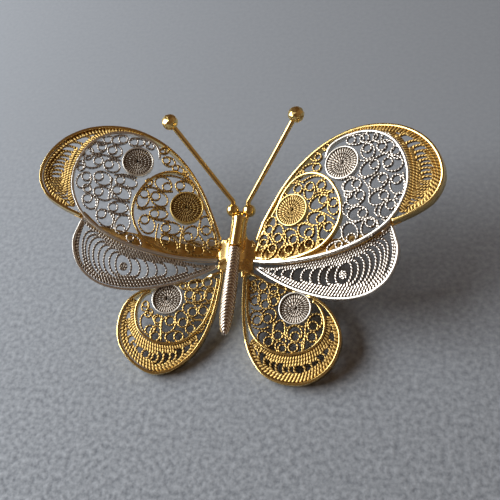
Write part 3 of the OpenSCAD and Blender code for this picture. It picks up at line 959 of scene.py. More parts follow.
@dataclass
class Forewing:
    """The forewing: gold strips and brace, ribbed tip, silver field, and gold field within it.

    Attributes:
        brooch: The shared sizes.
        reach: From the body's axis to the tip.
        chord: From the lower to the upper edge.
        low: The lower edge, forward of the datum.
        depth: Height of the outer strip.
        root_run: Length over which the outer strip rises from the root.
        root_dip: How far it is sunk at the root.
        inner_runs: Length of the inner strip's lowered ends, at its start and at its end.
        inner_ramp: Length over which they rise.
        inner_dip: How far they are lowered.
        tip_from: Where the ribbed tip begins, as a share of the reach.
        brace_seam: How far in from the silver strip's edge the brace starts.
        brace_level: How far forward of the wing's lower edge its straight edge lies.
        brace_most: Its greatest width.
        brace_thick: Its thickness.
        tab_width: Width of its end at the notch.
        plane: Where the wing lies.
    """

    brooch: Brooch
    reach: float = 28.2
    chord: float = 17.5
    low: float = -9.75
    depth: float = 1.3
    root_run: float = 2.4
    root_dip: float = 0.45
    inner_runs: tuple[float, float] = (8.6, 7.6)
    inner_ramp: float = 1.6
    inner_dip: float = 0.36
    tip_from: float = 0.54
    brace_seam: float = 0.1
    brace_level: float = 2.5
    brace_most: float = 3.9
    brace_thick: float = 0.35
    tab_width: float = 0.6
    plane: WingPlane = WingPlane(14, 19, 3.6)

    # Share of the reach, share of the chord: outer strip, from the root over the tip to the notch
    OUTER = ((0.067, 0.237), (0.128, 0.403), (0.202, 0.591), (0.291, 0.757), (0.394, 0.886),
             (0.504, 0.966), (0.620, 1.000), (0.738, 0.980), (0.851, 0.906), (0.943, 0.774),
             (0.996, 0.603), (1.000, 0.431), (0.947, 0.294), (0.858, 0.220), (0.764, 0.178))
    # Silver strip, from the cup over the top and along the lower edge to the root
    SILVER = ((0.447, 0.746), (0.450, 0.820), (0.472, 0.894), (0.518, 0.940), (0.582, 0.962),
              (0.656, 0.960), (0.727, 0.920), (0.791, 0.834), (0.833, 0.706), (0.851, 0.557),
              (0.840, 0.414), (0.798, 0.277), (0.738, 0.174), (0.656, 0.100), (0.550, 0.043),
              (0.426, 0.010), (0.284, 0.000), (0.160, 0.017), (0.067, 0.046))
    # Inner gold strip, a teardrop that leaves the root and comes back to it
    INNER = ((0.070, 0.140), (0.097, 0.262), (0.135, 0.365), (0.170, 0.460), (0.204, 0.537),
             (0.239, 0.614), (0.284, 0.680), (0.340, 0.714), (0.401, 0.700), (0.461, 0.637),
             (0.504, 0.534), (0.528, 0.414), (0.525, 0.294), (0.489, 0.174), (0.426, 0.083),
             (0.337, 0.036), (0.213, 0.034), (0.124, 0.055), (0.069, 0.078))

    SILVER_SCROLLS = {
        Side.RIGHT: scrolls(
            (18.6, 4.4, 18.7, 3.9, 0.92), (20.6, 4.2, 21.1, 4.0, 0.9), (22.4, 3.1, 22.5, 2.8, 0.7),
            (16.4, 6.1, 17.0, 6.0, 0.72), (18.3, 5.9, 18.9, 5.9, 0.75), (20.1, 5.6, 20.7, 5.4, 0.75),
            (19.5, 1.8, 18.85, 1.4, 1.08), (21.3, 1.7, 21.95, 1.4, 1.08), (17.0, -0.4, 16.3, -0.45, 0.9),
            (20.6, -0.4, 20.0, -0.7), (22.3, -0.9, 22.4, -1.65), (17.4, -2.1, 16.8, -2.35),
            (20.6, -2.8, 19.9, -2.95), (17.7, -4.7, 17.0, -4.65), (21.4, -4.2, 21.0, -4.7, 0.95),
            (18.7, -6.1, 18.5, -6.75, 1.05), (16.1, -7.8, 15.9, -7.05, 1.08),
            (22.6, -3.3, 22.5, -3.6, 0.6, 0.5), (14.4, -8.4, 13.8, -8.6, 0.62, 0.5),
            (15.7, -1.6, 15.8, -1.7, 0.5, 0.42)),
        Side.LEFT: scrolls(
            (19.5, 3.9, 19.1, 3.8, 0.88), (21.0, 4.1, 21.5, 3.8, 0.85), (22.6, 2.9, 22.6, 2.6, 0.65),
            (16.9, 5.8, 16.4, 5.9, 0.62), (18.4, 5.9, 18.9, 5.7, 0.7), (20.5, 5.4, 21.0, 5.1, 0.65),
            (19.5, 1.7, 19.0, 1.55, 0.95), (21.0, 1.9, 21.7, 1.6, 0.98), (17.4, -0.3, 16.5, -0.35, 0.78),
            (20.4, -0.4, 19.8, -0.6, 0.98), (22.0, -0.8, 22.2, -1.4, 0.95), (17.5, -1.8, 16.8, -2.1, 0.85),
            (19.9, -2.6, 19.2, -2.75, 0.95), (21.1, -3.9, 20.7, -4.3, 0.88), (17.4, -4.4, 16.7, -4.3, 0.9),
            (18.7, -5.7, 18.1, -6.2, 0.98), (15.7, -7.3, 15.6, -6.5), (21.4, -2.6, 21.5, -2.5, 0.55, 0.5),
            (14.1, -8.2, 13.5, -8.5, 0.62, 0.5), (15.1, 6.1, 14.7, 5.9, 0.5, 0.45),
            (23.1, 0.3, 23.1, 0.6, 0.55, 0.45)),
    }
    SILVER_WIRES = {
        Side.RIGHT: (
            ((15.5, -5.5), (16.6, -5.75), (17.9, -5.5), (19.3, -5.9)),
            ((17.2, 0.8), (18.0, 0.1), (18.7, 0.4)), ((18.0, -0.2), (18.7, -1.6), (18.6, -3.4)),
            ((16.1, -2.0), (15.3, -1.3), (15.2, -0.3), (15.8, 0.4)),
            ((15.7, -2.5), (15.1, -3.2), (15.1, -4.2), (15.8, -4.8)),
            ((19.6, -4.2), (19.3, -4.9), (19.8, -5.6)), ((23.2, -0.2), (23.3, -1.6), (23.2, -2.6)),
            ((14.9, 0.6), (15.9, 0.75), (16.9, 0.5)),
            ((17.4, 3.0), (18.2, 2.6), (19.6, 2.7), (20.9, 3.0), (22.1, 2.3)),
            ((15.5, -3.7), (16.4, -3.6), (17.4, -3.4)), ((19.6, -6.0), (19.8, -7.2)),
            ((20.2, -6.0), (20.9, -6.4)), ((14.6, -5.9), (14.9, -7.2), (14.3, -7.7))),
        Side.LEFT: (
            ((15.2, -1.1), (16.4, -1.3), (17.9, -0.9)), ((15.2, 0.5), (16.8, 0.7), (18.4, 0.3)),
            ((18.5, -0.2), (18.4, -1.6), (18.3, -3.5)), ((15.1, -5.2), (16.4, -5.3), (17.6, -5.2)),
            ((17.0, -5.4), (16.8, -6.4), (16.9, -7.5)),
            ((18.0, 2.6), (19.2, 2.8), (20.6, 2.9), (22.0, 2.5)),
            ((19.6, -3.7), (19.5, -4.6), (19.6, -5.4)),
            ((16.3, -0.9), (15.6, -1.6), (15.5, -2.6), (16.1, -3.3)),
            ((15.7, -3.8), (15.0, -4.6), (14.9, -5.7)), ((15.3, -3.2), (16.3, -3.2), (17.9, -3.1))),
    }
    GOLD_SCROLLS = {
        Side.RIGHT: scrolls(
            (8.6, 0.6, 7.9, 0.65, 0.95), (10.35, 0.6, 10.3, -0.05, 0.8), (12.0, 0.45, 12.6, 0.2),
            (12.3, -1.7, 11.6, -2.0), (13.7, -2.4, 13.75, -2.95, 0.82), (11.9, -4.4, 11.25, -4.2, 0.98),
            (13.0, -5.7, 12.65, -6.25), (10.2, -6.1, 9.75, -5.65, 1.02), (7.9, -6.6, 7.5, -6.15),
            (5.6, -6.0, 5.6, -5.35, 0.88), (4.2, -4.6, 4.45, -4.0, 0.8),
            (3.4, -6.4, 3.4, -6.0, 0.75, 0.55), (4.8, -7.4, 4.3, -7.8, 0.85), (7.3, -7.9, 6.8, -8.1, 0.82),
            (10.2, -7.6, 9.7, -7.95, 0.85), (12.0, -7.7, 11.9, -7.8, 0.5, 0.42)),
        Side.LEFT: scrolls(
            (9.1, 0.8, 8.4, 0.65, 0.92), (10.8, 0.2, 11.4, 0.5, 0.98), (12.1, -1.5, 11.5, -1.8),
            (13.7, -1.5, 13.7, -2.25, 0.85), (11.7, -4.1, 11.1, -4.0, 0.76),
            (12.8, -5.2, 12.35, -5.8, 1.05), (9.7, -5.8, 9.0, -5.7, 0.9), (9.4, -7.4, 8.75, -7.85, 0.85),
            (6.5, -6.4, 6.2, -5.85, 0.95), (5.8, -7.8, 5.15, -7.9, 0.85), (4.2, -4.9, 4.4, -4.2, 0.85),
            (3.1, -6.5, 2.9, -6.6, 0.72), (13.4, 0.2, 13.4, 0.3, 0.5, 0.45)),
    }
    GOLD_WIRES = {
        Side.RIGHT: (
            ((6.3, -0.5), (7.0, 1.2), (8.4, 1.8), (9.5, 1.3)),
            ((9.3, 1.6), (10.9, 2.0), (12.3, 1.6), (13.5, 0.7)),
            ((11.2, -0.6), (12.4, -0.4), (13.7, -1.0)), ((12.9, -0.9), (13.0, -2.0), (12.9, -3.4)),
            ((10.2, -3.3), (11.7, -3.3), (13.1, -4.2), (13.9, -4.9)),
            ((8.6, -4.7), (9.7, -4.7), (10.6, -5.2)), ((6.4, -4.9), (6.8, -6.2), (6.4, -7.4)),
            ((11.4, -5.2), (11.5, -6.7), (11.2, -8.3)), ((8.3, -5.6), (8.7, -6.9), (8.5, -8.3)),
            ((3.6, -3.4), (3.5, -4.6), (4.2, -5.5), (4.9, -6.6)), ((2.8, -7.4), (3.6, -7.1), (4.1, -6.6))),
        Side.LEFT: (
            ((9.9, -0.3), (11.3, -0.6), (12.8, -0.35), (14.4, -0.8)),
            ((10.3, -3.0), (12.3, -3.2), (13.4, -3.8), (14.2, -3.7)),
            ((9.4, -4.7), (11.2, -4.9), (12.9, -4.5)), ((5.2, -3.8), (5.3, -4.8), (5.2, -5.6)),
            ((3.9, -6.9), (4.5, -6.3), (5.2, -5.6)), ((7.4, -5.0), (7.4, -6.7), (7.2, -8.2)),
            ((10.8, -5.4), (10.8, -6.8), (10.6, -8.0)), ((7.1, 1.4), (8.8, 1.9), (10.6, 2.0), (12.6, 1.4)),
            ((2.7, -8.1), (3.8, -7.4), (4.2, -6.9)), ((7.6, -6.9), (8.6, -6.6), (10.2, -6.8))),
    }
    EDGE_SCROLLS = {
        Side.RIGHT: scrolls(
            (11.4, 3.2, 10.6, 3.2, 0.72, 0.6), (11.6, 4.7, 11.3, 4.8, 0.62, 0.5),
            (9.2, 2.9, 8.9, 2.7, 0.4, 0.32), (12.9, 5.9, 12.8, 5.9, 0.5, 0.4)),
        Side.LEFT: scrolls(
            (11.8, 4.1, 11.4, 4.0, 0.66, 0.55), (10.3, 3.3, 9.8, 3.1, 0.55, 0.45),
            (12.6, 5.4, 12.4, 5.5, 0.5, 0.4), (8.9, 2.8, 8.7, 2.6, 0.36, 0.3)),
    }

    SILVER_DISC = {Side.RIGHT: CoilDisc(15.05, 3.05, 4.8), Side.LEFT: CoilDisc(15.6, 2.95, 4.4)}
    GOLD_DISC = {Side.RIGHT: CoilDisc(7.65, -2.35, 4.65), Side.LEFT: CoilDisc(7.5, -2.25, 4.7)}
    TIP_LACE = LaceField(
        starts=((26.3, -1.2), (26.3, -0.6), (26.2, 0.0), (26.1, 0.6), (26.0, 1.2), (25.8, 1.8), (25.5, 2.5),
                (25.1, 3.3), (24.6, 4.1), (23.4, 5.3), (15.8, 7.4)),
        ends=((26.3, -1.9), (26.3, -2.3), (26.2, -2.7), (26.1, -3.1), (26.0, -3.5), (25.8, -3.8),
              (25.5, -4.1), (25.1, -4.5), (24.7, -4.8), (24.2, -5.1), (23.2, -5.6)),
        rows_a=3, rows_b=4, pitch_a=0.36, pitch_b=0.35, round_start=0.4, round_end=0.4, spread=2.2,
        dish=0.2, lean=(0.4, 0.05))

    def __post_init__(self) -> None:
        """Works out the three outlines and keeps them clear of each other."""
        b = self.brooch
        self.outer, silver, inner = (drawn(table, self.reach, self.low, self.chord)
                                     for table in (self.OUTER, self.SILVER, self.INNER))
        self.silver = keep_inside(silver, self.outer, b.outer_wall + 2 * b.join_gap)
        self.lower = self.silver[int(round(len(self.silver) * 0.6)):]
        inner = keep_inside(inner, self.outer, b.outer_wall + b.join_gap)
        self.inner = keep_inside(inner, self.lower, b.inner_wall + b.join_gap)

    def build(self, side: Side) -> None:
        """Builds the forewing's pieces on one side.

        Args:
            side: The side of the brooch.
        """
        silver_net = ScrollField(self.SILVER_SCROLLS[side], self.SILVER_WIRES[side])
        gold_net = ScrollField(self.GOLD_SCROLLS[side], self.GOLD_WIRES[side])
        makers = {
            "forewing_frame": (self.frame_strip, GOLD_POLISHED),
            "forewing_brace": (self.brace, GOLD_SHEET),
            "forewing_crescent": (self.crescent, GOLD_LACE),
            "forewing_silver_frame": (self.silver_strip, SILVER_POLISHED),
            "forewing_silver_net": (silver_net.build, SILVER_WIRE),
            "forewing_silver_disc": (self.SILVER_DISC[side].build, SILVER_COIL),
            "forewing_inner_frame": (self.inner_strip, GOLD_POLISHED),
            "forewing_gold_net": (gold_net.build, GOLD_WIRE),
            "forewing_gold_disc": (self.GOLD_DISC[side].build, GOLD_COIL),
            "forewing_edge_net": (ScrollField(self.EDGE_SCROLLS[side]).build, GOLD_WIRE),
        }
        for name, (make, finish) in makers.items():
            shape = Shape()
            make(shape)
            node = side.node("forewing_frame" if name == "forewing_brace" else name)
            self.plane.place(shape, side, self.brooch.seat).piece(f"{side.node(name)}_metal", finish, node)

    def frame_strip(self, shape: Shape) -> None:
        """Adds the outer strip, which sinks into the saddle at the root."""
        root = np.clip(1 - lengths(self.outer) / self.root_run, 0, 1)
        Strip(self.brooch.outer_wall, self.depth).along(shape, self.outer, dip=self.root_dip * root)

    def brace(self, shape: Shape) -> None:
        """Adds the flat brace behind the lower edge.

        Args:
            shape: The mesh that takes it.
        """
        level = self.low + self.brace_level
        edge = inset(self.lower, self.brace_seam)
        edge = edge[edge[:, 1] < level - 0.05]
        far = np.column_stack([edge[:, 0], np.minimum(level, edge[:, 1] + self.brace_most)])
        top, foot = self.brace_thick - self.depth, -self.depth
        corners = ((edge, foot), (far, foot), (far, top), (edge, top))
        rings = np.stack([np.column_stack([line, np.full(len(line), z)]) for line, z in corners], axis=1)
        # The brace, behind the lower edge, is painted in light shade
        shape.skin(rings, False, 0.75)
        self.tab(shape, top, foot)

    def tab(self, shape: Shape, top: float, foot: float) -> None:
        """Adds the end of the brace, which reaches the outer strip's end at the notch.

        Args:
            shape: The mesh that takes it.
            top: Height of its top face.
            foot: Height of its underside.
        """
        seat = inset(self.lower, self.tab_width)
        near = nearest(self.lower, self.outer[-1])
        corners = np.array([self.outer[-1], self.outer[-4], seat[max(near - 1, 0)], seat[near + 9]])
        rings = np.stack([np.column_stack([corners, np.full(4, z)]) for z in (foot, top)])
        # The tab is painted in the same light shade
        shape.skin(rings, False, 0.75)

    def silver_strip(self, shape: Shape) -> None:
        """Adds the silver strip, which starts a little way round the cup."""
        Strip(self.brooch.inner_wall, self.brooch.inner_depth).along(shape, self.silver[6:])

    def inner_strip(self, shape: Shape) -> None:
        """Adds the inner gold teardrop, whose ends lie lower, soldered to the strips beside them.

        Args:
            shape: The mesh that takes it.
        """
        along = lengths(self.inner)
        start, end = self.inner_runs
        sunk = sum(np.clip((run - way) / self.inner_ramp, 0, 1)
                   for run, way in ((start, along), (end, along[-1] - along)))
        strip = Strip(self.brooch.inner_wall, self.brooch.inner_depth)
        strip.along(shape, self.inner, dip=self.inner_dip * sunk)

    def crescent(self, shape: Shape) -> None:
        """Adds the nested loops that fill the tip, between the outer and the silver strip.

        Args:
            shape: The mesh that takes it.
        """
        b = self.brooch
        outside = inset(self.outer, b.outer_wall + b.net_gap)
        inside = inset(self.silver, -b.net_gap)
        outside, inside = (rail[rail[:, 0] > self.tip_from * self.reach] for rail in (outside, inside))
        self.TIP_LACE.build(shape, outside, inside[inside[:, 1] > self.outer[-1][1] - 0.2])


@dataclass
class Midwing:
    """The silver wing between the two gold ones, filled with nested loops.

    Attributes:
        brooch: The shared sizes.
        reach: From the body's axis to the tip.
        chord: From the lower to the upper edge.
        low: The lower edge, forward of the datum.
        depth: Height of the strip.
        top_dip: How far the strip is filed down along the top, beside the forewing.
        dip_end: Where that ends, out from the body.
        dip_ramp: Length over which the strip rises there.
        cover: The stretch, out from the body, where the lace's edge moves from over the strip to inside it.
        plane: Where the wing lies.
    """

    brooch: Brooch
    reach: float = 21.7
    chord: float = 8.1
    low: float = -15.4
    depth: float = 0.75
    top_dip: float = 0.3
    dip_end: float = 20.2
    dip_ramp: float = 1.2
    cover: tuple[float, float] = (18.6, 20.4)
    plane: WingPlane = WingPlane(22, 18, 3.99)

    # Share of the reach, share of the chord: along the top, round the tip and back along the lower edge
    OUTER = ((0.089, 0.735), (0.184, 0.673), (0.369, 0.695), (0.553, 0.712), (0.714, 0.790),
             (0.838, 0.905), (0.900, 0.985), (0.944, 1.075), (0.968, 1.095), (0.981, 1.020), (0.993, 0.870),
             (1.002, 0.700), (0.986, 0.506), (0.949, 0.321), (0.889, 0.160), (0.793, 0.037), (0.682, 0.000),
             (0.562, 0.037), (0.438, 0.136), (0.300, 0.296), (0.161, 0.519), (0.075, 0.690))
    # The rows of that table where the strip leaves the forewing's edge, and where the tip turns down
    LEAVES_EDGE = 8
    TIP = 11
    LACE = LaceField(
        starts=((13.1, -12.2), (11.9, -12.2), (10.75, -12), (9.6, -11.8), (8.3, -11.5), (6.9, -11.2),
                (5.6, -10.9), (4.6, -10.6), (3.6, -10.2), (2.8, -9.9)),
        ends=((15.4, -12.2), (16.35, -12.1), (17.2, -12), (18.1, -11.8), (18.9, -11.5), (19.6, -11.1),
              (20.2, -10.7), (20.65, -10.4), (21.0, -10.2), (21.3, -10.0)),
        rows_a=4, rows_b=4, pitch_a=0.37, pitch_b=0.41, round_start=0.75, round_end=0.85, eye=(14.2, -12.15))

    def build(self, side: Side) -> None:
        """Builds the midwing's pieces on one side.

        Args:
            side: The side of the brooch.
        """
        b = self.brooch
        outline = drawn(self.OUTER, self.reach, self.low, self.chord, closed=True)
        out = outline[:, 0]
        strip, lace = Shape(), Shape()
        beside = np.arange(len(outline)) < self.LEAVES_EDGE * STEPS
        filed = np.where(beside, self.top_dip * np.clip((self.dip_end - out) / self.dip_ramp, 0, 1), 0)
        Strip(b.inner_wall, self.depth).along(strip, outline, closed=True, dip=filed)
        clear = b.inner_wall + b.net_gap
        over = inset(outline, np.interp(out, self.cover, (0.03, clear))[:, None], closed=True)
        under = inset(outline, clear, closed=True)
        tip = self.TIP * STEPS
        # Both rails start a few points away from the root, where the strip's sides meet
        self.LACE.build(lace, over[4:tip], under[tip:-6][::-1])
        pieces = (("midwing_frame", strip, SILVER_POLISHED), ("midwing_loops", lace, SILVER_LACE))
        for name, shape, finish in pieces:
            node = side.node(name)
            self.plane.place(shape, side, b.seat).piece(f"{node}_metal", finish, node)


@dataclass
class Hindwing:
    """The hindwing: gold strips, nested loops between them, a gold field and a silver coil.

    Attributes:
        brooch: The shared sizes.
        reach: From the body's axis to the outer edge.
        chord: From the lowest edge to the root.
        low: The lowest edge, forward of the datum.
        depth: Height of the outer strip.
        under: How far that strip is filed down where it passes below the midwing.
        plane: Where the wing lies.
    """

    brooch: Brooch
    reach: float = 14.85
    chord: float = 15.2
    low: float = -25.1
    depth: float = 1.19
    under: float = 0.9
    plane: WingPlane = WingPlane(14, 5, 3.6)

    # Share of the reach, share of the chord: along the top, round the bottom and back beside the body
    OUTER = {
        Side.RIGHT: (
            (0.130, 0.990), (0.283, 0.915), (0.370, 0.890), (0.460, 0.862), (0.570, 0.828),
            (0.665, 0.792), (0.770, 0.745), (0.865, 0.668), (0.938, 0.570), (0.985, 0.455),
            (0.985, 0.330), (0.930, 0.185), (0.830, 0.078), (0.700, 0.012), (0.560, 0.000),
            (0.425, 0.026), (0.315, 0.080), (0.232, 0.168), (0.170, 0.270), (0.130, 0.375),
            (0.103, 0.500), (0.084, 0.630), (0.074, 0.760), (0.070, 0.870), (0.075, 0.950)),
        Side.LEFT: (
            (0.130, 0.985), (0.283, 0.912), (0.370, 0.892), (0.460, 0.870), (0.590, 0.838),
            (0.700, 0.803), (0.795, 0.765), (0.875, 0.722), (0.940, 0.660), (0.988, 0.565),
            (1.005, 0.440), (0.987, 0.310), (0.932, 0.202), (0.828, 0.102), (0.705, 0.034),
            (0.590, 0.010), (0.462, 0.042), (0.360, 0.110), (0.262, 0.213), (0.192, 0.340),
            (0.147, 0.467), (0.112, 0.628), (0.096, 0.800), (0.092, 0.950)),
    }
    # Inner strip, from the top round the outer side and the bottom to the body side
    INNER = {
        Side.RIGHT: (
            (0.735, 0.745), (0.800, 0.675), (0.845, 0.580), (0.853, 0.488), (0.826, 0.396),
            (0.752, 0.316), (0.660, 0.269), (0.540, 0.247), (0.418, 0.263), (0.318, 0.307),
            (0.228, 0.375), (0.172, 0.455), (0.140, 0.550), (0.122, 0.650), (0.112, 0.750),
            (0.106, 0.860), (0.108, 0.920)),
        Side.LEFT: (
            (0.755, 0.763), (0.824, 0.700), (0.862, 0.606), (0.857, 0.500), (0.815, 0.397),
            (0.741, 0.329), (0.640, 0.287), (0.515, 0.276), (0.390, 0.303), (0.287, 0.380),
            (0.212, 0.475), (0.162, 0.594), (0.136, 0.741), (0.126, 0.850), (0.126, 0.920)),
    }
    # Where the nested loops turn, on the side of the wing's top and on the body's side, from the eye outward
    TURNS = {
        Side.RIGHT: (
            ((10.2, -23.1), (11.2, -22.7), (12.2, -22.1), (12.8, -21.2), (13.4, -20.3), (13.6, -19.3),
             (13.9, -18.0), (13.8, -17.0), (13.4, -16.0)),
            ((8.8, -23.4), (8.1, -23.2), (7.2, -23.2), (6.2, -23.1), (5.4, -22.9), (4.5, -22.2),
             (3.7, -21.5), (3.0, -20.8), (2.5, -19.8))),
        Side.LEFT: (
            ((11.2, -22.6), (12.2, -21.9), (12.9, -21.2), (13.5, -20.4), (13.9, -19.3), (14.0, -17.9),
             (13.9, -16.7), (13.8, -15.8), (13.5, -15.0)),
            ((10.0, -22.8), (9.4, -22.8), (8.6, -22.8), (7.8, -22.9), (6.9, -22.8), (6.0, -22.5),
             (5.1, -21.7), (4.0, -20.9), (3.2, -20.0))),
    }
    DISC = {Side.RIGHT: CoilDisc(8.45, -15.05, 4.4, sunk=0.26),
            Side.LEFT: CoilDisc(8.6, -14.6, 4.3, sunk=0.26)}

    SCROLLS = {
        Side.RIGHT: scrolls(
            (3.9, -12.0, 3.4, -11.9, 0.82), (5.4, -12.5, 5.95, -12.5, 0.8), (4.4, -14.5, 4.2, -14.0, 0.88),
            (5.5, -14.1, 5.5, -13.7, 0.8), (2.9, -14.0, 2.8, -13.5, 0.75), (4.8, -16.4, 5.0, -16.05, 0.95),
            (3.4, -16.7, 3.3, -16.4, 0.95), (6.4, -18.7, 6.5, -18.0, 0.82), (8.7, -18.8, 8.6, -18.4),
            (11.0, -17.4, 11.2, -16.9, 0.92), (10.9, -18.8, 10.6, -19.5, 0.85),
            (8.5, -20.2, 8.9, -20.2, 0.76), (7.1, -20.4, 6.9, -20.2, 0.68, 0.55),
            (5.2, -19.5, 4.75, -19.15, 0.88), (2.4, -11.7, 2.4, -12.1, 0.55, 0.45),
            (4.1, -20.6, 4.0, -20.4, 0.4, 0.32)),
        Side.LEFT: scrolls(
            (3.4, -11.8, 2.9, -11.8, 0.75), (5.3, -12.3, 4.9, -12.2, 0.7),
            (6.7, -12.6, 6.5, -12.6, 0.5, 0.42), (2.9, -13.7, 2.8, -13.4, 0.7),
            (4.5, -14.0, 4.2, -13.8, 0.78), (5.6, -13.7, 5.5, -14.0, 0.7), (3.4, -15.8, 3.0, -15.5, 0.85),
            (4.8, -16.1, 5.2, -15.8, 0.88), (4.8, -18.4, 4.2, -18.1, 0.95),
            (5.9, -17.7, 6.15, -17.2, 0.85), (7.7, -17.6, 7.95, -18.15), (6.2, -19.6, 6.8, -19.7, 0.8),
            (9.4, -19.9, 9.4, -19.5, 0.75), (10.3, -19.1, 10.7, -18.3),
            (9.4, -17.6, 9.5, -17.5, 0.55, 0.5), (2.5, -17.2, 2.5, -17.1, 0.5, 0.4),
            (11.5, -15.6, 11.5, -15.9, 0.5, 0.42), (10.9, -17.0, 10.8, -16.8, 0.45, 0.4)),
    }
    WIRES = {
        Side.RIGHT: (
            ((2.9, -17.6), (4.0, -17.9), (5.1, -17.6)), ((5.7, -17.0), (5.8, -18.3), (5.8, -19.6)),
            ((7.2, -17.3), (7.4, -18.6), (7.6, -19.6)), ((10.0, -17.0), (10.0, -18.6), (9.9, -20.4)),
            ((2.4, -15.0), (3.2, -15.5), (4.0, -15.2)), ((7.5, -17.7), (8.8, -17.3), (9.9, -17.6))),
        Side.LEFT: (
            ((2.4, -14.6), (4.2, -14.9), (5.9, -14.7)), ((2.3, -12.8), (4.2, -13.0), (6.1, -13.0)),
            ((3.1, -17.0), (4.2, -17.1), (5.4, -16.8)), ((8.9, -17.0), (8.8, -18.6), (8.5, -20.4))),
    }

    # Where the outer strip's filed stretch begins, is deepest and ends, out from the body, and its back end
    FILED = (3.0, 4.5, 8.0, 10.4)
    FILED_BACK = -15
    # Where the lace starts and ends along the outer and along the inner strip
    OUTER_SPAN = ((12.4, -14.0), (1.9, -17.6))
    INNER_SPAN = ((12.1, -14.6), (2.2, -17.6))

    def build(self, side: Side) -> None:
        """Builds the hindwing's pieces on one side.

        Args:
            side: The side of the brooch.
        """
        b = self.brooch
        outer = drawn(self.OUTER[side], self.reach, self.low, self.chord, closed=True)
        inner = drawn(self.INNER[side], self.reach, self.low, self.chord)
        inner = keep_inside(inner, outer, b.outer_wall + b.join_gap)
        shapes = {name: Shape() for name in ("hindwing_frame", "hindwing_inner_frame", "hindwing_crescent",
                                             "hindwing_net", "hindwing_disc")}
        Strip(b.outer_wall, self.depth).along(shapes["hindwing_frame"], outer, True, self.dip(outer))
        Strip(b.inner_wall, b.inner_depth).along(shapes["hindwing_inner_frame"], inner)
        self.crescent(shapes["hindwing_crescent"], outer, inner, side)
        ScrollField(self.SCROLLS[side], self.WIRES[side]).build(shapes["hindwing_net"])
        self.DISC[side].build(shapes["hindwing_disc"])
        finishes = {"hindwing_frame": GOLD_POLISHED, "hindwing_inner_frame": GOLD_POLISHED,
                    "hindwing_crescent": GOLD_LACE, "hindwing_net": GOLD_WIRE, "hindwing_disc": SILVER_COIL}
        for name, shape in shapes.items():
            node = side.node(name)
            self.plane.place(shape, side, b.seat).piece(f"{node}_metal", finishes[name], node)

    def dip(self, outer: Array) -> Array:
        """Returns how far the outer strip is filed down, where it passes below the midwing."""
        return self.under * np.interp(outer[:, 0], self.FILED, (0, 1, 1, 0)) * (outer[:, 1] > self.FILED_BACK)

    def crescent(self, shape: Shape, outer: Array, inner: Array, side: Side) -> None:
        """Adds the nested loops between the outer and the inner strip.

        Args:
            shape: The mesh that takes it.
            outer: The outer strip's outline.
            inner: The inner strip's outline.
            side: The side of the brooch.
        """
        b = self.brooch
        outside, inside = inset(outer, b.outer_wall + b.net_gap, closed=True), inset(inner, -b.net_gap)
        starts, ends = self.TURNS[side]
        lace = LaceField(starts=starts, ends=ends, rows_a=3, rows_b=3, pitch_a=0.38, pitch_b=0.41,
                         round_start=0.8, round_end=0.8, spread=1.5, dish=0.2, lean=(0.1, -0.1))
        lace.build(shape, between(outside, *self.OUTER_SPAN), between(inside, *self.INNER_SPAN))


def turned(start: Vector, end: Vector, profile: Array | Sequence[tuple[float, float]],
           around: int = 48) -> Array:
    """Turns a round body on an axis.

    Args:
        start: Where the axis starts.
        end: Where it ends.
        profile: Rows of (share of the axis, radius).
        around: Points round each ring.

    Returns:
        Rings by points by coordinates.
    """
    axis = (end - start).normalized()
    side = axis.cross(Vector((0, 0, 1))).normalized()
    up = side.cross(axis)
    turn = np.linspace(0, 2 * math.pi, around, endpoint=False)
    circle = np.cos(turn)[:, None] * np.array(side) + np.sin(turn)[:, None] * np.array(up)
    return np.stack([np.array(start.lerp(end, share)) + circle * radius for share, radius in profile])


def ball(shape: Shape, middle: Vector, radius: float, rings: int = 28) -> None:
    """Adds a round ball to a mesh.

    Args:
        shape: The mesh that takes it.
        middle: Its middle.
        radius: Its radius.
        rings: Rings from pole to pole.
    """
    turns = np.linspace(0, math.pi, rings + 1)[1:-1]
    profile = [(0.5 - 0.5 * math.cos(a), radius * math.sin(a)) for a in turns]
    up = Vector((0, 0, radius))
    tilted = Vector((0.02, 0, 0))
    shape.skin(turned(middle - up - tilted, middle + up + tilted, profile, 2 * rings), False)


def faceted(shape: Shape, middle: Vector, radius: float) -> None:
    """Adds a ball with flat facets to a mesh.

    Args:
        shape: The mesh that takes it.
        middle: Its middle.
        radius: Its radius.
    """
    cut = bmesh.new()
    bmesh.ops.create_icosphere(cut, subdivisions=2, radius=radius)
    for face in cut.faces:
        corners = np.array([corner.co for corner in face.verts]) + np.array(middle)
        shape.add(corners, [(0, 1, 2)])
    cut.free()


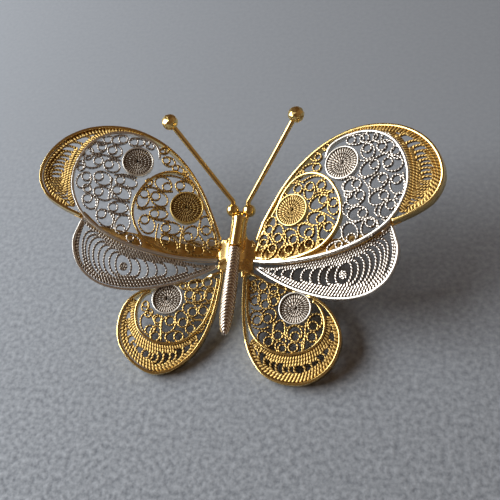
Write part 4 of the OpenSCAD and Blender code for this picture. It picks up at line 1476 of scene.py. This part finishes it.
@dataclass
class Body:
    """Thorax, abdomen, eyes and antennae.

    Attributes:
        brooch: The shared sizes.
        thorax_d: Diameter of the polished rod.
        thorax_length: Its length.
        thorax_slope: Its nose-up slope, in degrees.
        rim_back: How far behind the head the rod's rim lies.
        abdomen_d: Diameter of the plait where it starts.
        abdomen_length: Its length.
        abdomen_slope: Its nose-up slope, in degrees.
        plait: Distance between its strands.
        eye_swell: Size of a dressed eye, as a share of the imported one.
        antenna_d: Diameter of an antenna's wire.
        bead_d: Diameter of the bead on its tip.
        bead_facets: How far out the bead's corners lie, as a share of its radius.
        bead_sink: How far the bead's middle, where the wire ends, lies back from the tip.
        antenna_rise: Height of the tip above the eye.
        antenna_reach: How far the tip lies forward of the eye.
        antenna_spread: How far the tip lies out from the eye.
        antenna_skew: How much further out the left antenna is bent.
        antenna_back: How much it is bent back with that, as a multiple of it.
    """

    brooch: Brooch
    thorax_d: float = 1.74
    thorax_length: float = 4.9
    thorax_slope: float = 6
    rim_back: float = 0.4
    abdomen_d: float = 1.6
    abdomen_length: float = 12.3
    abdomen_slope: float = 9.8
    plait: float = 0.44
    eye_swell: float = 1.07
    antenna_d: float = 0.7
    bead_d: float = 1.96
    bead_facets: float = 1.14
    bead_sink: float = 0.18
    antenna_rise: float = 10.8
    antenna_reach: float = 7.8
    antenna_spread: float = 7.0
    antenna_skew: float = 0.8
    antenna_back: float = 1.4

    # Share of the length, share of the radius: the thorax from its turned-out rim to the waist
    THORAX = ((0, 0.5), (0.002, 0.98), (0.012, 1.12), (0.04, 1.14), (0.08, 1.08), (0.14, 1.02), (0.3, 1),
              (0.8, 1.02), (0.97, 1.03), (0.99, 0.98), (1.0, 0.6))
    # Share of the length, radius: the neck from the thorax to between the eyes
    NECK = ((0, 0.5), (0.1, 0.56), (0.5, 0.46), (0.85, 0.28), (1.0, 0.1))
    # Share of the length, share of the radius: a plait that swells and then closes to a point
    ROPE = ((0, 0.86), (0.02, 1.0), (0.3, 1.1), (0.55, 1.2), (0.75, 1.16), (0.88, 0.96), (0.95, 0.72),
            (0.985, 0.45), (1, 0.14))
    # Rings along the plait, and points round it
    ROPE_MESH = (420, 72)
    # Where its strands meet, in degrees from its left side over the top: a little to the right of the top
    SEAM_AT = 112
    # How deep the seam is cut as a share of a strand, and its half width in radians
    SEAM = (0.55, 0.14)
    # How fast the strands run back from the seam, and how deep the grooves are as a share of the radius
    STRAND_LEAN = 7.0
    GROOVE = 0.10
    # The way from a bead's middle to the tip: right, forward and up
    BEAD_WAY = (0.221, -0.529, 0.819)

    def down(self, slope: float) -> Vector:
        """Returns the direction towards the tail, at a nose-up slope."""
        return Vector((0, -math.cos(math.radians(slope)), -math.sin(math.radians(slope))))

    def build(self) -> None:
        """Builds all the body's pieces."""
        b = self.brooch
        head = Vector((0, b.head_y, b.head_height)) + b.seat
        waist = head + self.down(self.thorax_slope) * self.thorax_length
        self.thorax(head, waist)
        self.abdomen(waist - Vector((0, b.join_gap + 0.05, 0)))
        for side in Side:
            self.eye(side)
            self.antenna(side)

    def thorax(self, head: Vector, waist: Vector) -> None:
        """Builds the polished rod, with its turned-out rim and the neck between the eyes.

        Args:
            head: Where its axis starts, at the head.
            waist: Where it ends, at the abdomen.
        """
        r = self.thorax_d / 2
        shape = Shape()
        profile = through(np.array(self.THORAX) * (1, r), steps=4)
        shape.skin(turned(head + self.down(self.thorax_slope) * self.rim_back, waist, profile, 64), False)
        front = head + Vector((0, self.brooch.eye_d * 0.55, -0.15))
        # The neck between the eyes is painted in light shade
        shape.skin(turned(head - Vector((0, 0.55, 0.1)), front, self.NECK, 32), False, 0.8)
        shape.piece("thorax_metal", GOLD_POLISHED, "thorax")

    def abdomen(self, start: Vector) -> None:
        """Builds the plaited silver rope, whose strands meet in a row of chevrons.

        Args:
            start: Where its axis starts, at the waist.
        """
        tip = start + self.down(self.abdomen_slope) * self.abdomen_length + Vector((0.1, 0, 0))
        whole = (tip - start).length
        count, around = self.ROPE_MESH
        share = np.linspace(0, 1, count)
        swell = through(np.array(self.ROPE))
        radius = self.abdomen_d / 2 * np.interp(share, swell[:, 0], swell[:, 1])
        rings = turned(start, tip, np.column_stack([share, radius]), around)
        turn = np.linspace(0, 2 * math.pi, around, endpoint=False)
        from_seam = np.abs((turn - math.radians(self.SEAM_AT) + math.pi) % (2 * math.pi) - math.pi)
        phase = 2 * math.pi * share[:, None] * whole / self.plait - self.STRAND_LEAN * from_seam
        bulge = 0.5 + 0.5 * np.cos(phase)
        cut, width = self.SEAM
        seam = 1 - cut * np.exp(-(from_seam / width) ** 2)
        middle = rings.mean(axis=1, keepdims=True)
        depth = 1 - self.GROOVE * (1 - bulge * seam)
        rings = middle + (rings - middle) * depth[..., None]
        shape = Shape()
        # Painted shade in the grooves between the strands and along the seam where they meet
        shape.skin(rings, False, (0.05 + 0.95 * bulge * seam).ravel())
        shape.piece("abdomen_metal", SILVER_PLAIT, "abdomen")

    def eye_at(self, side: Side) -> Vector:
        """Returns the middle of one eye."""
        eye = self.brooch.eye
        return Vector((side.value * eye.x, eye.y, eye.z)) + self.brooch.seat

    def eye(self, side: Side) -> None:
        """Builds one ball eye.

        Args:
            side: The side of the brooch.
        """
        shape = Shape()
        ball(shape, self.eye_at(side), self.brooch.eye_d / 2 * self.eye_swell)
        node = side.node("eye")
        shape.piece(f"{node}_metal", GOLD_POLISHED, node)

    def antenna(self, side: Side) -> None:
        """Builds one antenna: a round wire that bends out of the eye, and its bead.

        Args:
            side: The side of the brooch.
        """
        b = self.brooch
        skew = self.antenna_skew if side is Side.LEFT else 0.0
        eye = self.eye_at(side)
        away = b.eye_d / 2 + self.antenna_d / 2 + b.join_gap
        # The wire comes out of the eye's upper front, bends at a short knee and then runs straight
        foot = eye + Vector((-0.03 * side.value, 0.66, 0.75)) * away
        out = side.value * (self.antenna_spread + skew)
        tip = eye + Vector((out, self.antenna_reach - self.antenna_back * skew, self.antenna_rise))
        knee = foot.lerp(tip, 0.05)
        bead = tip - Vector(self.BEAD_WAY) * self.bead_sink
        shape = Shape()
        socket = eye + Vector((-0.1 * side.value, 0.2, 0.25))
        line = through(np.array([socket, foot, knee, knee.lerp(bead, 0.2), knee.lerp(bead, 0.5), bead]))
        shape.skin(self.rod(spaced(line, 0.18), self.antenna_d / 2), False)
        faceted(shape, bead, self.bead_d / 2 * self.bead_facets)
        node = side.node("antenna")
        shape.piece(f"{node}_metal", GOLD_POLISHED, node)

    @staticmethod
    def rod(line: Array, radius: float) -> Array:
        """Sweeps a round wire along a line in space.

        Args:
            line: The wire's middle line.
            radius: Its radius.

        Returns:
            Rings by points by coordinates.
        """
        along = np.gradient(line, axis=0)
        along /= np.linalg.norm(along, axis=1, keepdims=True)
        side = np.cross(along, [0.3, 1.0, 0.1])
        side /= np.linalg.norm(side, axis=1, keepdims=True)
        up = np.cross(side, along)
        turn = np.linspace(0, 2 * math.pi, 24, endpoint=False)[None, :, None]
        ends = np.ones(len(line))
        # The wire's first end is rounded off
        ends[:2] = 0.55, 0.93
        round_off = radius * ends[:, None, None]
        return line[:, None] + round_off * (np.cos(turn) * side[:, None] + np.sin(turn) * up[:, None])


@dataclass
class Saddle:
    """The plate that carries the wing roots, with its notches and drops of solder.

    Attributes:
        brooch: The shared sizes.
        length: Along the body.
        thick: Its thickness.
        front: Its front edge, forward of the datum.
        top: Height of its top face in its own plane.
        root_out: Where the wing roots start, out from the body.
        thorax_d: Width that the notches leave for the thorax.
        grain: How finely the casting's pieces are run together.
        flow: How far each point of the casting moves to its neighbours' middle, as a share.
        passes: How often it does.
        plane: Where the plate lies.
        wing: Where the forewings lie.
    """

    brooch: Brooch
    length: float = 4.5
    thick: float = 1.3
    front: float = -5.3
    top: float = 0.21
    root_out: float = 0.067 * Forewing.reach
    thorax_d: float = 1.7
    grain: float = 0.085
    flow: float = 0.5
    passes: int = 14
    plane: WingPlane = WingPlane(14, 0, 3.6)
    wing: WingPlane = Forewing.plane

    # The sheet at a wing's root: out, front edge, height of its top above the plate's plane, thickness
    WEB = ((0.5, -3.4, 0.95, 1.4), (0.8, -3.8, 0.78, 1.3), (1.0, -4.3, 0.58, 1.1), (1.2, -4.95, 0.42, 1.0),
           (1.45, -5.32, 0.34, 0.9), (1.75, -5.5, 0.30, 0.8), (2.0, -5.5, 0.28, 0.7), (2.25, -5.6, 0.26, 0.6),
           (2.5, -6.1, 0.2, 0.5), (2.75, -6.8, 0.08, 0.4))
    # The sheet's back edge, at the body and at its outer end
    WEB_BACK = (-8.9, -8.3)
    # Start and end of each arm as out, forward and height above the plate's plane, then its two radii
    ARMS = (((0.74, -6.6, 0.75), (0.76, -3.0, 0.5), 0.42, 0.40),
            ((0.76, -3.0, 0.5), (1.0, -1.95, 0.3), 0.40, 0.30),
            ((1.6, -8.6, -0.05), (2.2, -8.9, 0.1), 0.42, 0.3),
            ((1.1, -8.8, -0.2), (1.1, -10.5, -0.45), 0.44, 0.32),
            ((1.5, -9.0, -0.25), (1.95, -10.2, -0.3), 0.4, 0.28))
    # A drop of solder on the left root and three on the right, as a place and a radius
    DROPS = {Side.LEFT: (((1.5, -5.75, 0.3), 0.24),),
             Side.RIGHT: (((1.35, -8.5, 0.22), 0.24), ((1.2, -9.3, 0.0), 0.24), ((2.45, -6.2, 0.3), 0.24))}

    def side(self, y: float) -> float:
        """Returns half the saddle's width at a place along the body."""
        d, p = math.radians(self.wing.dihedral), math.radians(self.wing.pitch)
        return self.root_out * math.cos(d) - y * math.sin(d) * math.sin(p) - self.brooch.join_gap

    def outline(self) -> Array:
        """Draws the plate's outline, with a round notch on each side of the thorax.

        Returns:
            Rows of (out, forward).
        """
        back = self.front - self.length
        half = self.side(self.front)
        middle = (self.thorax_d / 2 + half) / 2
        radius = (half - self.thorax_d / 2 - 0.35) / 2
        turn = np.radians(np.linspace(0, -180, 13))
        notch = np.stack([middle + radius * np.cos(turn), self.front + radius * 0.9 * np.sin(turn)], axis=1)
        mirrored = (notch * np.array([-1, 1]))[::-1]
        return np.vstack([[half, self.front - 0.15], [half - 0.1, self.front], notch, mirrored,
                          [0.1 - half, self.front], [-half, self.front - 0.15],
                          [-self.side(back), back], [self.side(back), back]])

    def build(self) -> None:
        """Builds the plate, its arms to the wing roots and its solder, run together as one casting."""
        rough = Shape()
        self.plate(rough)
        for side in Side:
            self.web(rough, side)
        self.arms(rough)
        mesh = bpy.data.meshes.new("saddle_rough")
        mesh.from_pydata(np.vstack(rough.points), [], rough.faces)
        rough_cast = bpy.data.objects.new("saddle_rough", mesh)
        bpy.context.scene.collection.objects.link(rough_cast)
        melt = rough_cast.modifiers.new("melt", "REMESH")
        melt.mode = "VOXEL"
        melt.voxel_size = self.grain
        flow = rough_cast.modifiers.new("flow", "SMOOTH")
        flow.factor = self.flow
        flow.iterations = self.passes
        ready = rough_cast.evaluated_get(bpy.context.evaluated_depsgraph_get())
        melted = bpy.data.meshes.new_from_object(ready)
        shape = Shape()
        points = np.array([v.co for v in melted.vertices])
        # The whole casting is painted in light shade
        shape.add(points, [tuple(p.vertices) for p in melted.polygons], 0.8)
        bpy.data.objects.remove(rough_cast)
        bpy.data.meshes.remove(melted)
        shape.piece("saddle_metal", GOLD_CAST, "saddle")

    def plate(self, shape: Shape) -> None:
        """Adds the flat plate, a straight-sided slab with the notched outline.

        Args:
            shape: The mesh that takes it.
        """
        line = self.outline()
        flat = Shape()
        low = np.column_stack([line, np.full(len(line), self.top - self.thick)])
        high = np.column_stack([line, np.full(len(line), self.top - 0.05)])
        flat.skin(np.stack([low, high]), False)
        self.plane.place(flat, Side.RIGHT, self.brooch.seat)
        shape.add(flat.points[0], flat.faces)

    def web(self, shape: Shape, side: Side) -> None:
        """Adds the sheet between the thorax and the forewing's root, which rises to it and ends in a U.

        Args:
            shape: The mesh that takes it.
            side: The side of the brooch.
        """
        edge = through(np.array(self.WEB), steps=3)
        back = np.linspace(*self.WEB_BACK, len(edge))
        # The sheet falls a little towards its back edge, and its front edge is undercut
        rings = [[(out, front, top), (out, end, top - 0.12),
                  (out, end, top - thick), (out, front - 0.1, top - thick)]
                 for (out, front, top, thick), end in zip(edge, back)]
        flat = Shape()
        flat.skin(np.array(rings), False)
        self.plane.place(flat, side, self.brooch.seat)
        shape.add(flat.points[0], flat.faces)

    def arms(self, shape: Shape) -> None:
        """Adds what is rounded: the arms beside the thorax and to the hindwing roots, and the solder.

        Args:
            shape: The mesh that takes it.
        """
        for side in Side:
            for start, end, first, last in self.ARMS:
                for step in np.linspace(0, 1, 9):
                    self.drop(shape, side, np.array(start) * (1 - step) + np.array(end) * step,
                              first * (1 - step) + last * step)
            for spot, radius in self.DROPS[side]:
                self.drop(shape, side, np.array(spot), radius)

    def drop(self, shape: Shape, side: Side, spot: Array, radius: float) -> None:
        """Adds one ball of metal at a place in the plate's plane.

        Args:
            shape: The mesh that takes it.
            side: The side of the brooch.
            spot: Its middle: out, forward and up.
            radius: Its radius.
        """
        mark = Shape()
        mark.points = [np.array([spot])]
        self.plane.place(mark, side, self.brooch.seat)
        ball(shape, Vector(mark.points[0][0]), radius, 10)


class Pin:
    """The plain bar pin across the back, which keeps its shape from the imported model."""

    def build(self) -> None:
        """Dresses the pin."""
        node = frame["nodes"]["pin"]
        node.data.materials.clear()
        node.data.materials.append(PIN_METAL.material())
        unshaded = node.data.attributes.new("unshaded", "FLOAT", "POINT")
        unshaded.data.foreach_set("value", np.ones(len(node.data.vertices), np.float32))
        LOG.info("pin: dressed")


@dataclass(frozen=True)
class Studio:
    """Paper, light and camera.

    Attributes:
        azimuth: Where the camera stands, in degrees round from the tail.
        elevation: Its height above the paper, in degrees.
        distance: From the camera to what it looks at, in millimetres.
        roll: How far the camera is turned about its own axis, in degrees.
        target: What it looks at, from the datum.
        focal: Focal length in pixels of the photograph.
        frame: Width of the photograph in pixels.
        paper_half: Half the width of the paper, in metres.
        looks_at: What the lamps are turned to, in metres.
    """

    azimuth: float = 22.673
    elevation: float = 54.999
    distance: float = 98.368
    roll: float = -17.122
    target: tuple[float, float, float] = (1.257, -5.378, 0.0)
    focal: float = 700
    frame: float = 500
    paper_half: float = 0.6
    looks_at: tuple[float, float, float] = (0, 0, 0.008)

    # Name, place in metres, width, height, power in watts
    LAMPS = (("window", (-0.265, 0.004, 0.178), 0.27, 0.23, 1.56),
             ("pane", (-0.25, 0.133, 0.150), 0.055, 0.16, 0.205))
    DAYLIGHT = (0.95, 0.98, 1.0)
    # The room's colour on the dim side and on the side of the lit wall, and its strength
    ROOM_DIM = (0.165, 0.10, 0.06, 1)
    ROOM_LIT = (0.42, 0.31, 0.22, 1)
    ROOM_STRENGTH = 0.6
    # The paper's deepest and palest grey
    PAPER_DEEP = (0.147, 0.161, 0.184, 1)
    PAPER_PALE = (0.42, 0.448, 0.487, 1)

    def build(self, seat: Vector) -> None:
        """Builds the stage round the brooch.

        Args:
            seat: Where the brooch's datum lies, in millimetres.
        """
        self.camera(seat)
        self.paper()
        self.lights()

    def camera(self, seat: Vector) -> None:
        """Sets the camera where the photograph was taken from.

        Args:
            seat: Where the brooch's datum lies, in millimetres.
        """
        a, e, r = (math.radians(x) for x in (self.azimuth, self.elevation, self.roll))
        back = Vector((math.sin(a) * math.cos(e), -math.cos(a) * math.cos(e), math.sin(e)))
        level = Vector((math.cos(a), math.sin(a), 0))
        up = back.cross(level)
        right = level * math.cos(r) + up * math.sin(r)
        top = up * math.cos(r) - level * math.sin(r)
        data = bpy.data.cameras.new("camera")
        data.sensor_width = 36
        data.lens = self.focal / self.frame * data.sensor_width
        data.clip_start, data.clip_end = 0.002, 5
        made = bpy.data.objects.new("camera", data)
        bpy.context.scene.collection.objects.link(made)
        spot = (Vector(self.target) + Vector((0, seat.y, seat.z)) + back * self.distance) * MM
        turn = Matrix((right, top, back)).transposed().to_4x4()
        made.matrix_world = Matrix.Translation(spot) @ turn
        bpy.context.scene.camera = made

    def paper(self) -> None:
        """Lays the sheet of paper."""
        half = self.paper_half
        mesh = bpy.data.meshes.new("paper")
        corners = [(-half, -half, 0), (half, -half, 0), (half, half, 0), (-half, half, 0)]
        mesh.from_pydata(corners, [], [(0, 1, 2, 3)])
        made = bpy.data.objects.new("paper", mesh)
        bpy.context.scene.collection.objects.link(made)
        material = bpy.data.materials.new("grey paper")
        material.use_nodes = True
        add = partial(added, material.node_tree)
        place = add("TexCoord", "Object")
        grain = add("TexNoise", "Fac", {"Vector": place, "Scale": 1500, "Detail": 6})
        # The grain shows more strongly towards the near edge
        near = add("SeparateXYZ", "Y", {"Vector": place})
        strength = add("MapRange", "Result",
                       {"Value": near, "From Min": 0.03, "From Max": -0.04, "To Min": 0.2, "To Max": 2.2})
        rough = add("Mix", "Result", {"Factor": strength, "A": 0.5, "B": grain}, clamp_factor=False)
        tone = add("Mix", "Result", {"Factor": rough, "A": self.PAPER_DEEP, "B": self.PAPER_PALE},
                   data_type="RGBA")
        bump = add("Bump", "Normal", {"Height": rough, "Strength": 0.35, "Distance": 0.0001})
        fill(material.node_tree, material.node_tree.nodes["Principled BSDF"],
             {"Roughness": 0.9, "Base Color": tone, "Normal": bump})
        mesh.materials.append(material)

    def lights(self) -> None:
        """Sets a window with a second pane on the left, and a warm dim room with a lit wall on the right."""
        for name, spot, width, height, power in self.LAMPS:
            data = bpy.data.lights.new(name, "AREA")
            data.shape = "RECTANGLE"
            data.size, data.size_y = width, height
            data.energy = power
            data.color = self.DAYLIGHT
            made = bpy.data.objects.new(name, data)
            bpy.context.scene.collection.objects.link(made)
            made.location = spot
            way = Vector(self.looks_at) - Vector(spot)
            made.rotation_euler = way.to_track_quat("-Z", "Y").to_euler()
        world = bpy.data.worlds.new("room")
        bpy.context.scene.world = world
        world.use_nodes = True
        tree = world.node_tree
        toward = added(tree, "SeparateXYZ", "X", {"Vector": added(tree, "TexCoord", "Generated")})
        lit = added(tree, "MapRange", "Result", {"Value": toward, "From Min": 0.35, "From Max": 0.95})
        wall = added(tree, "Mix", "Result", {"Factor": lit, "A": self.ROOM_DIM, "B": self.ROOM_LIT},
                     data_type="RGBA")
        fill(tree, tree.nodes["Background"], {"Color": wall, "Strength": self.ROOM_STRENGTH})
        bpy.context.scene.view_settings.view_transform = "Standard"


def main() -> None:
    """Builds the brooch and the stage."""
    logging.basicConfig(level=logging.INFO, format="%(name)s: %(message)s")
    brooch = Brooch()
    Body(brooch).build()
    Saddle(brooch).build()
    Pin().build()
    for side in Side:
        for wing in (Forewing(brooch), Midwing(brooch), Hindwing(brooch)):
            wing.build(side)
    Studio().build(brooch.seat)


if __name__ == "__main__":
    main()
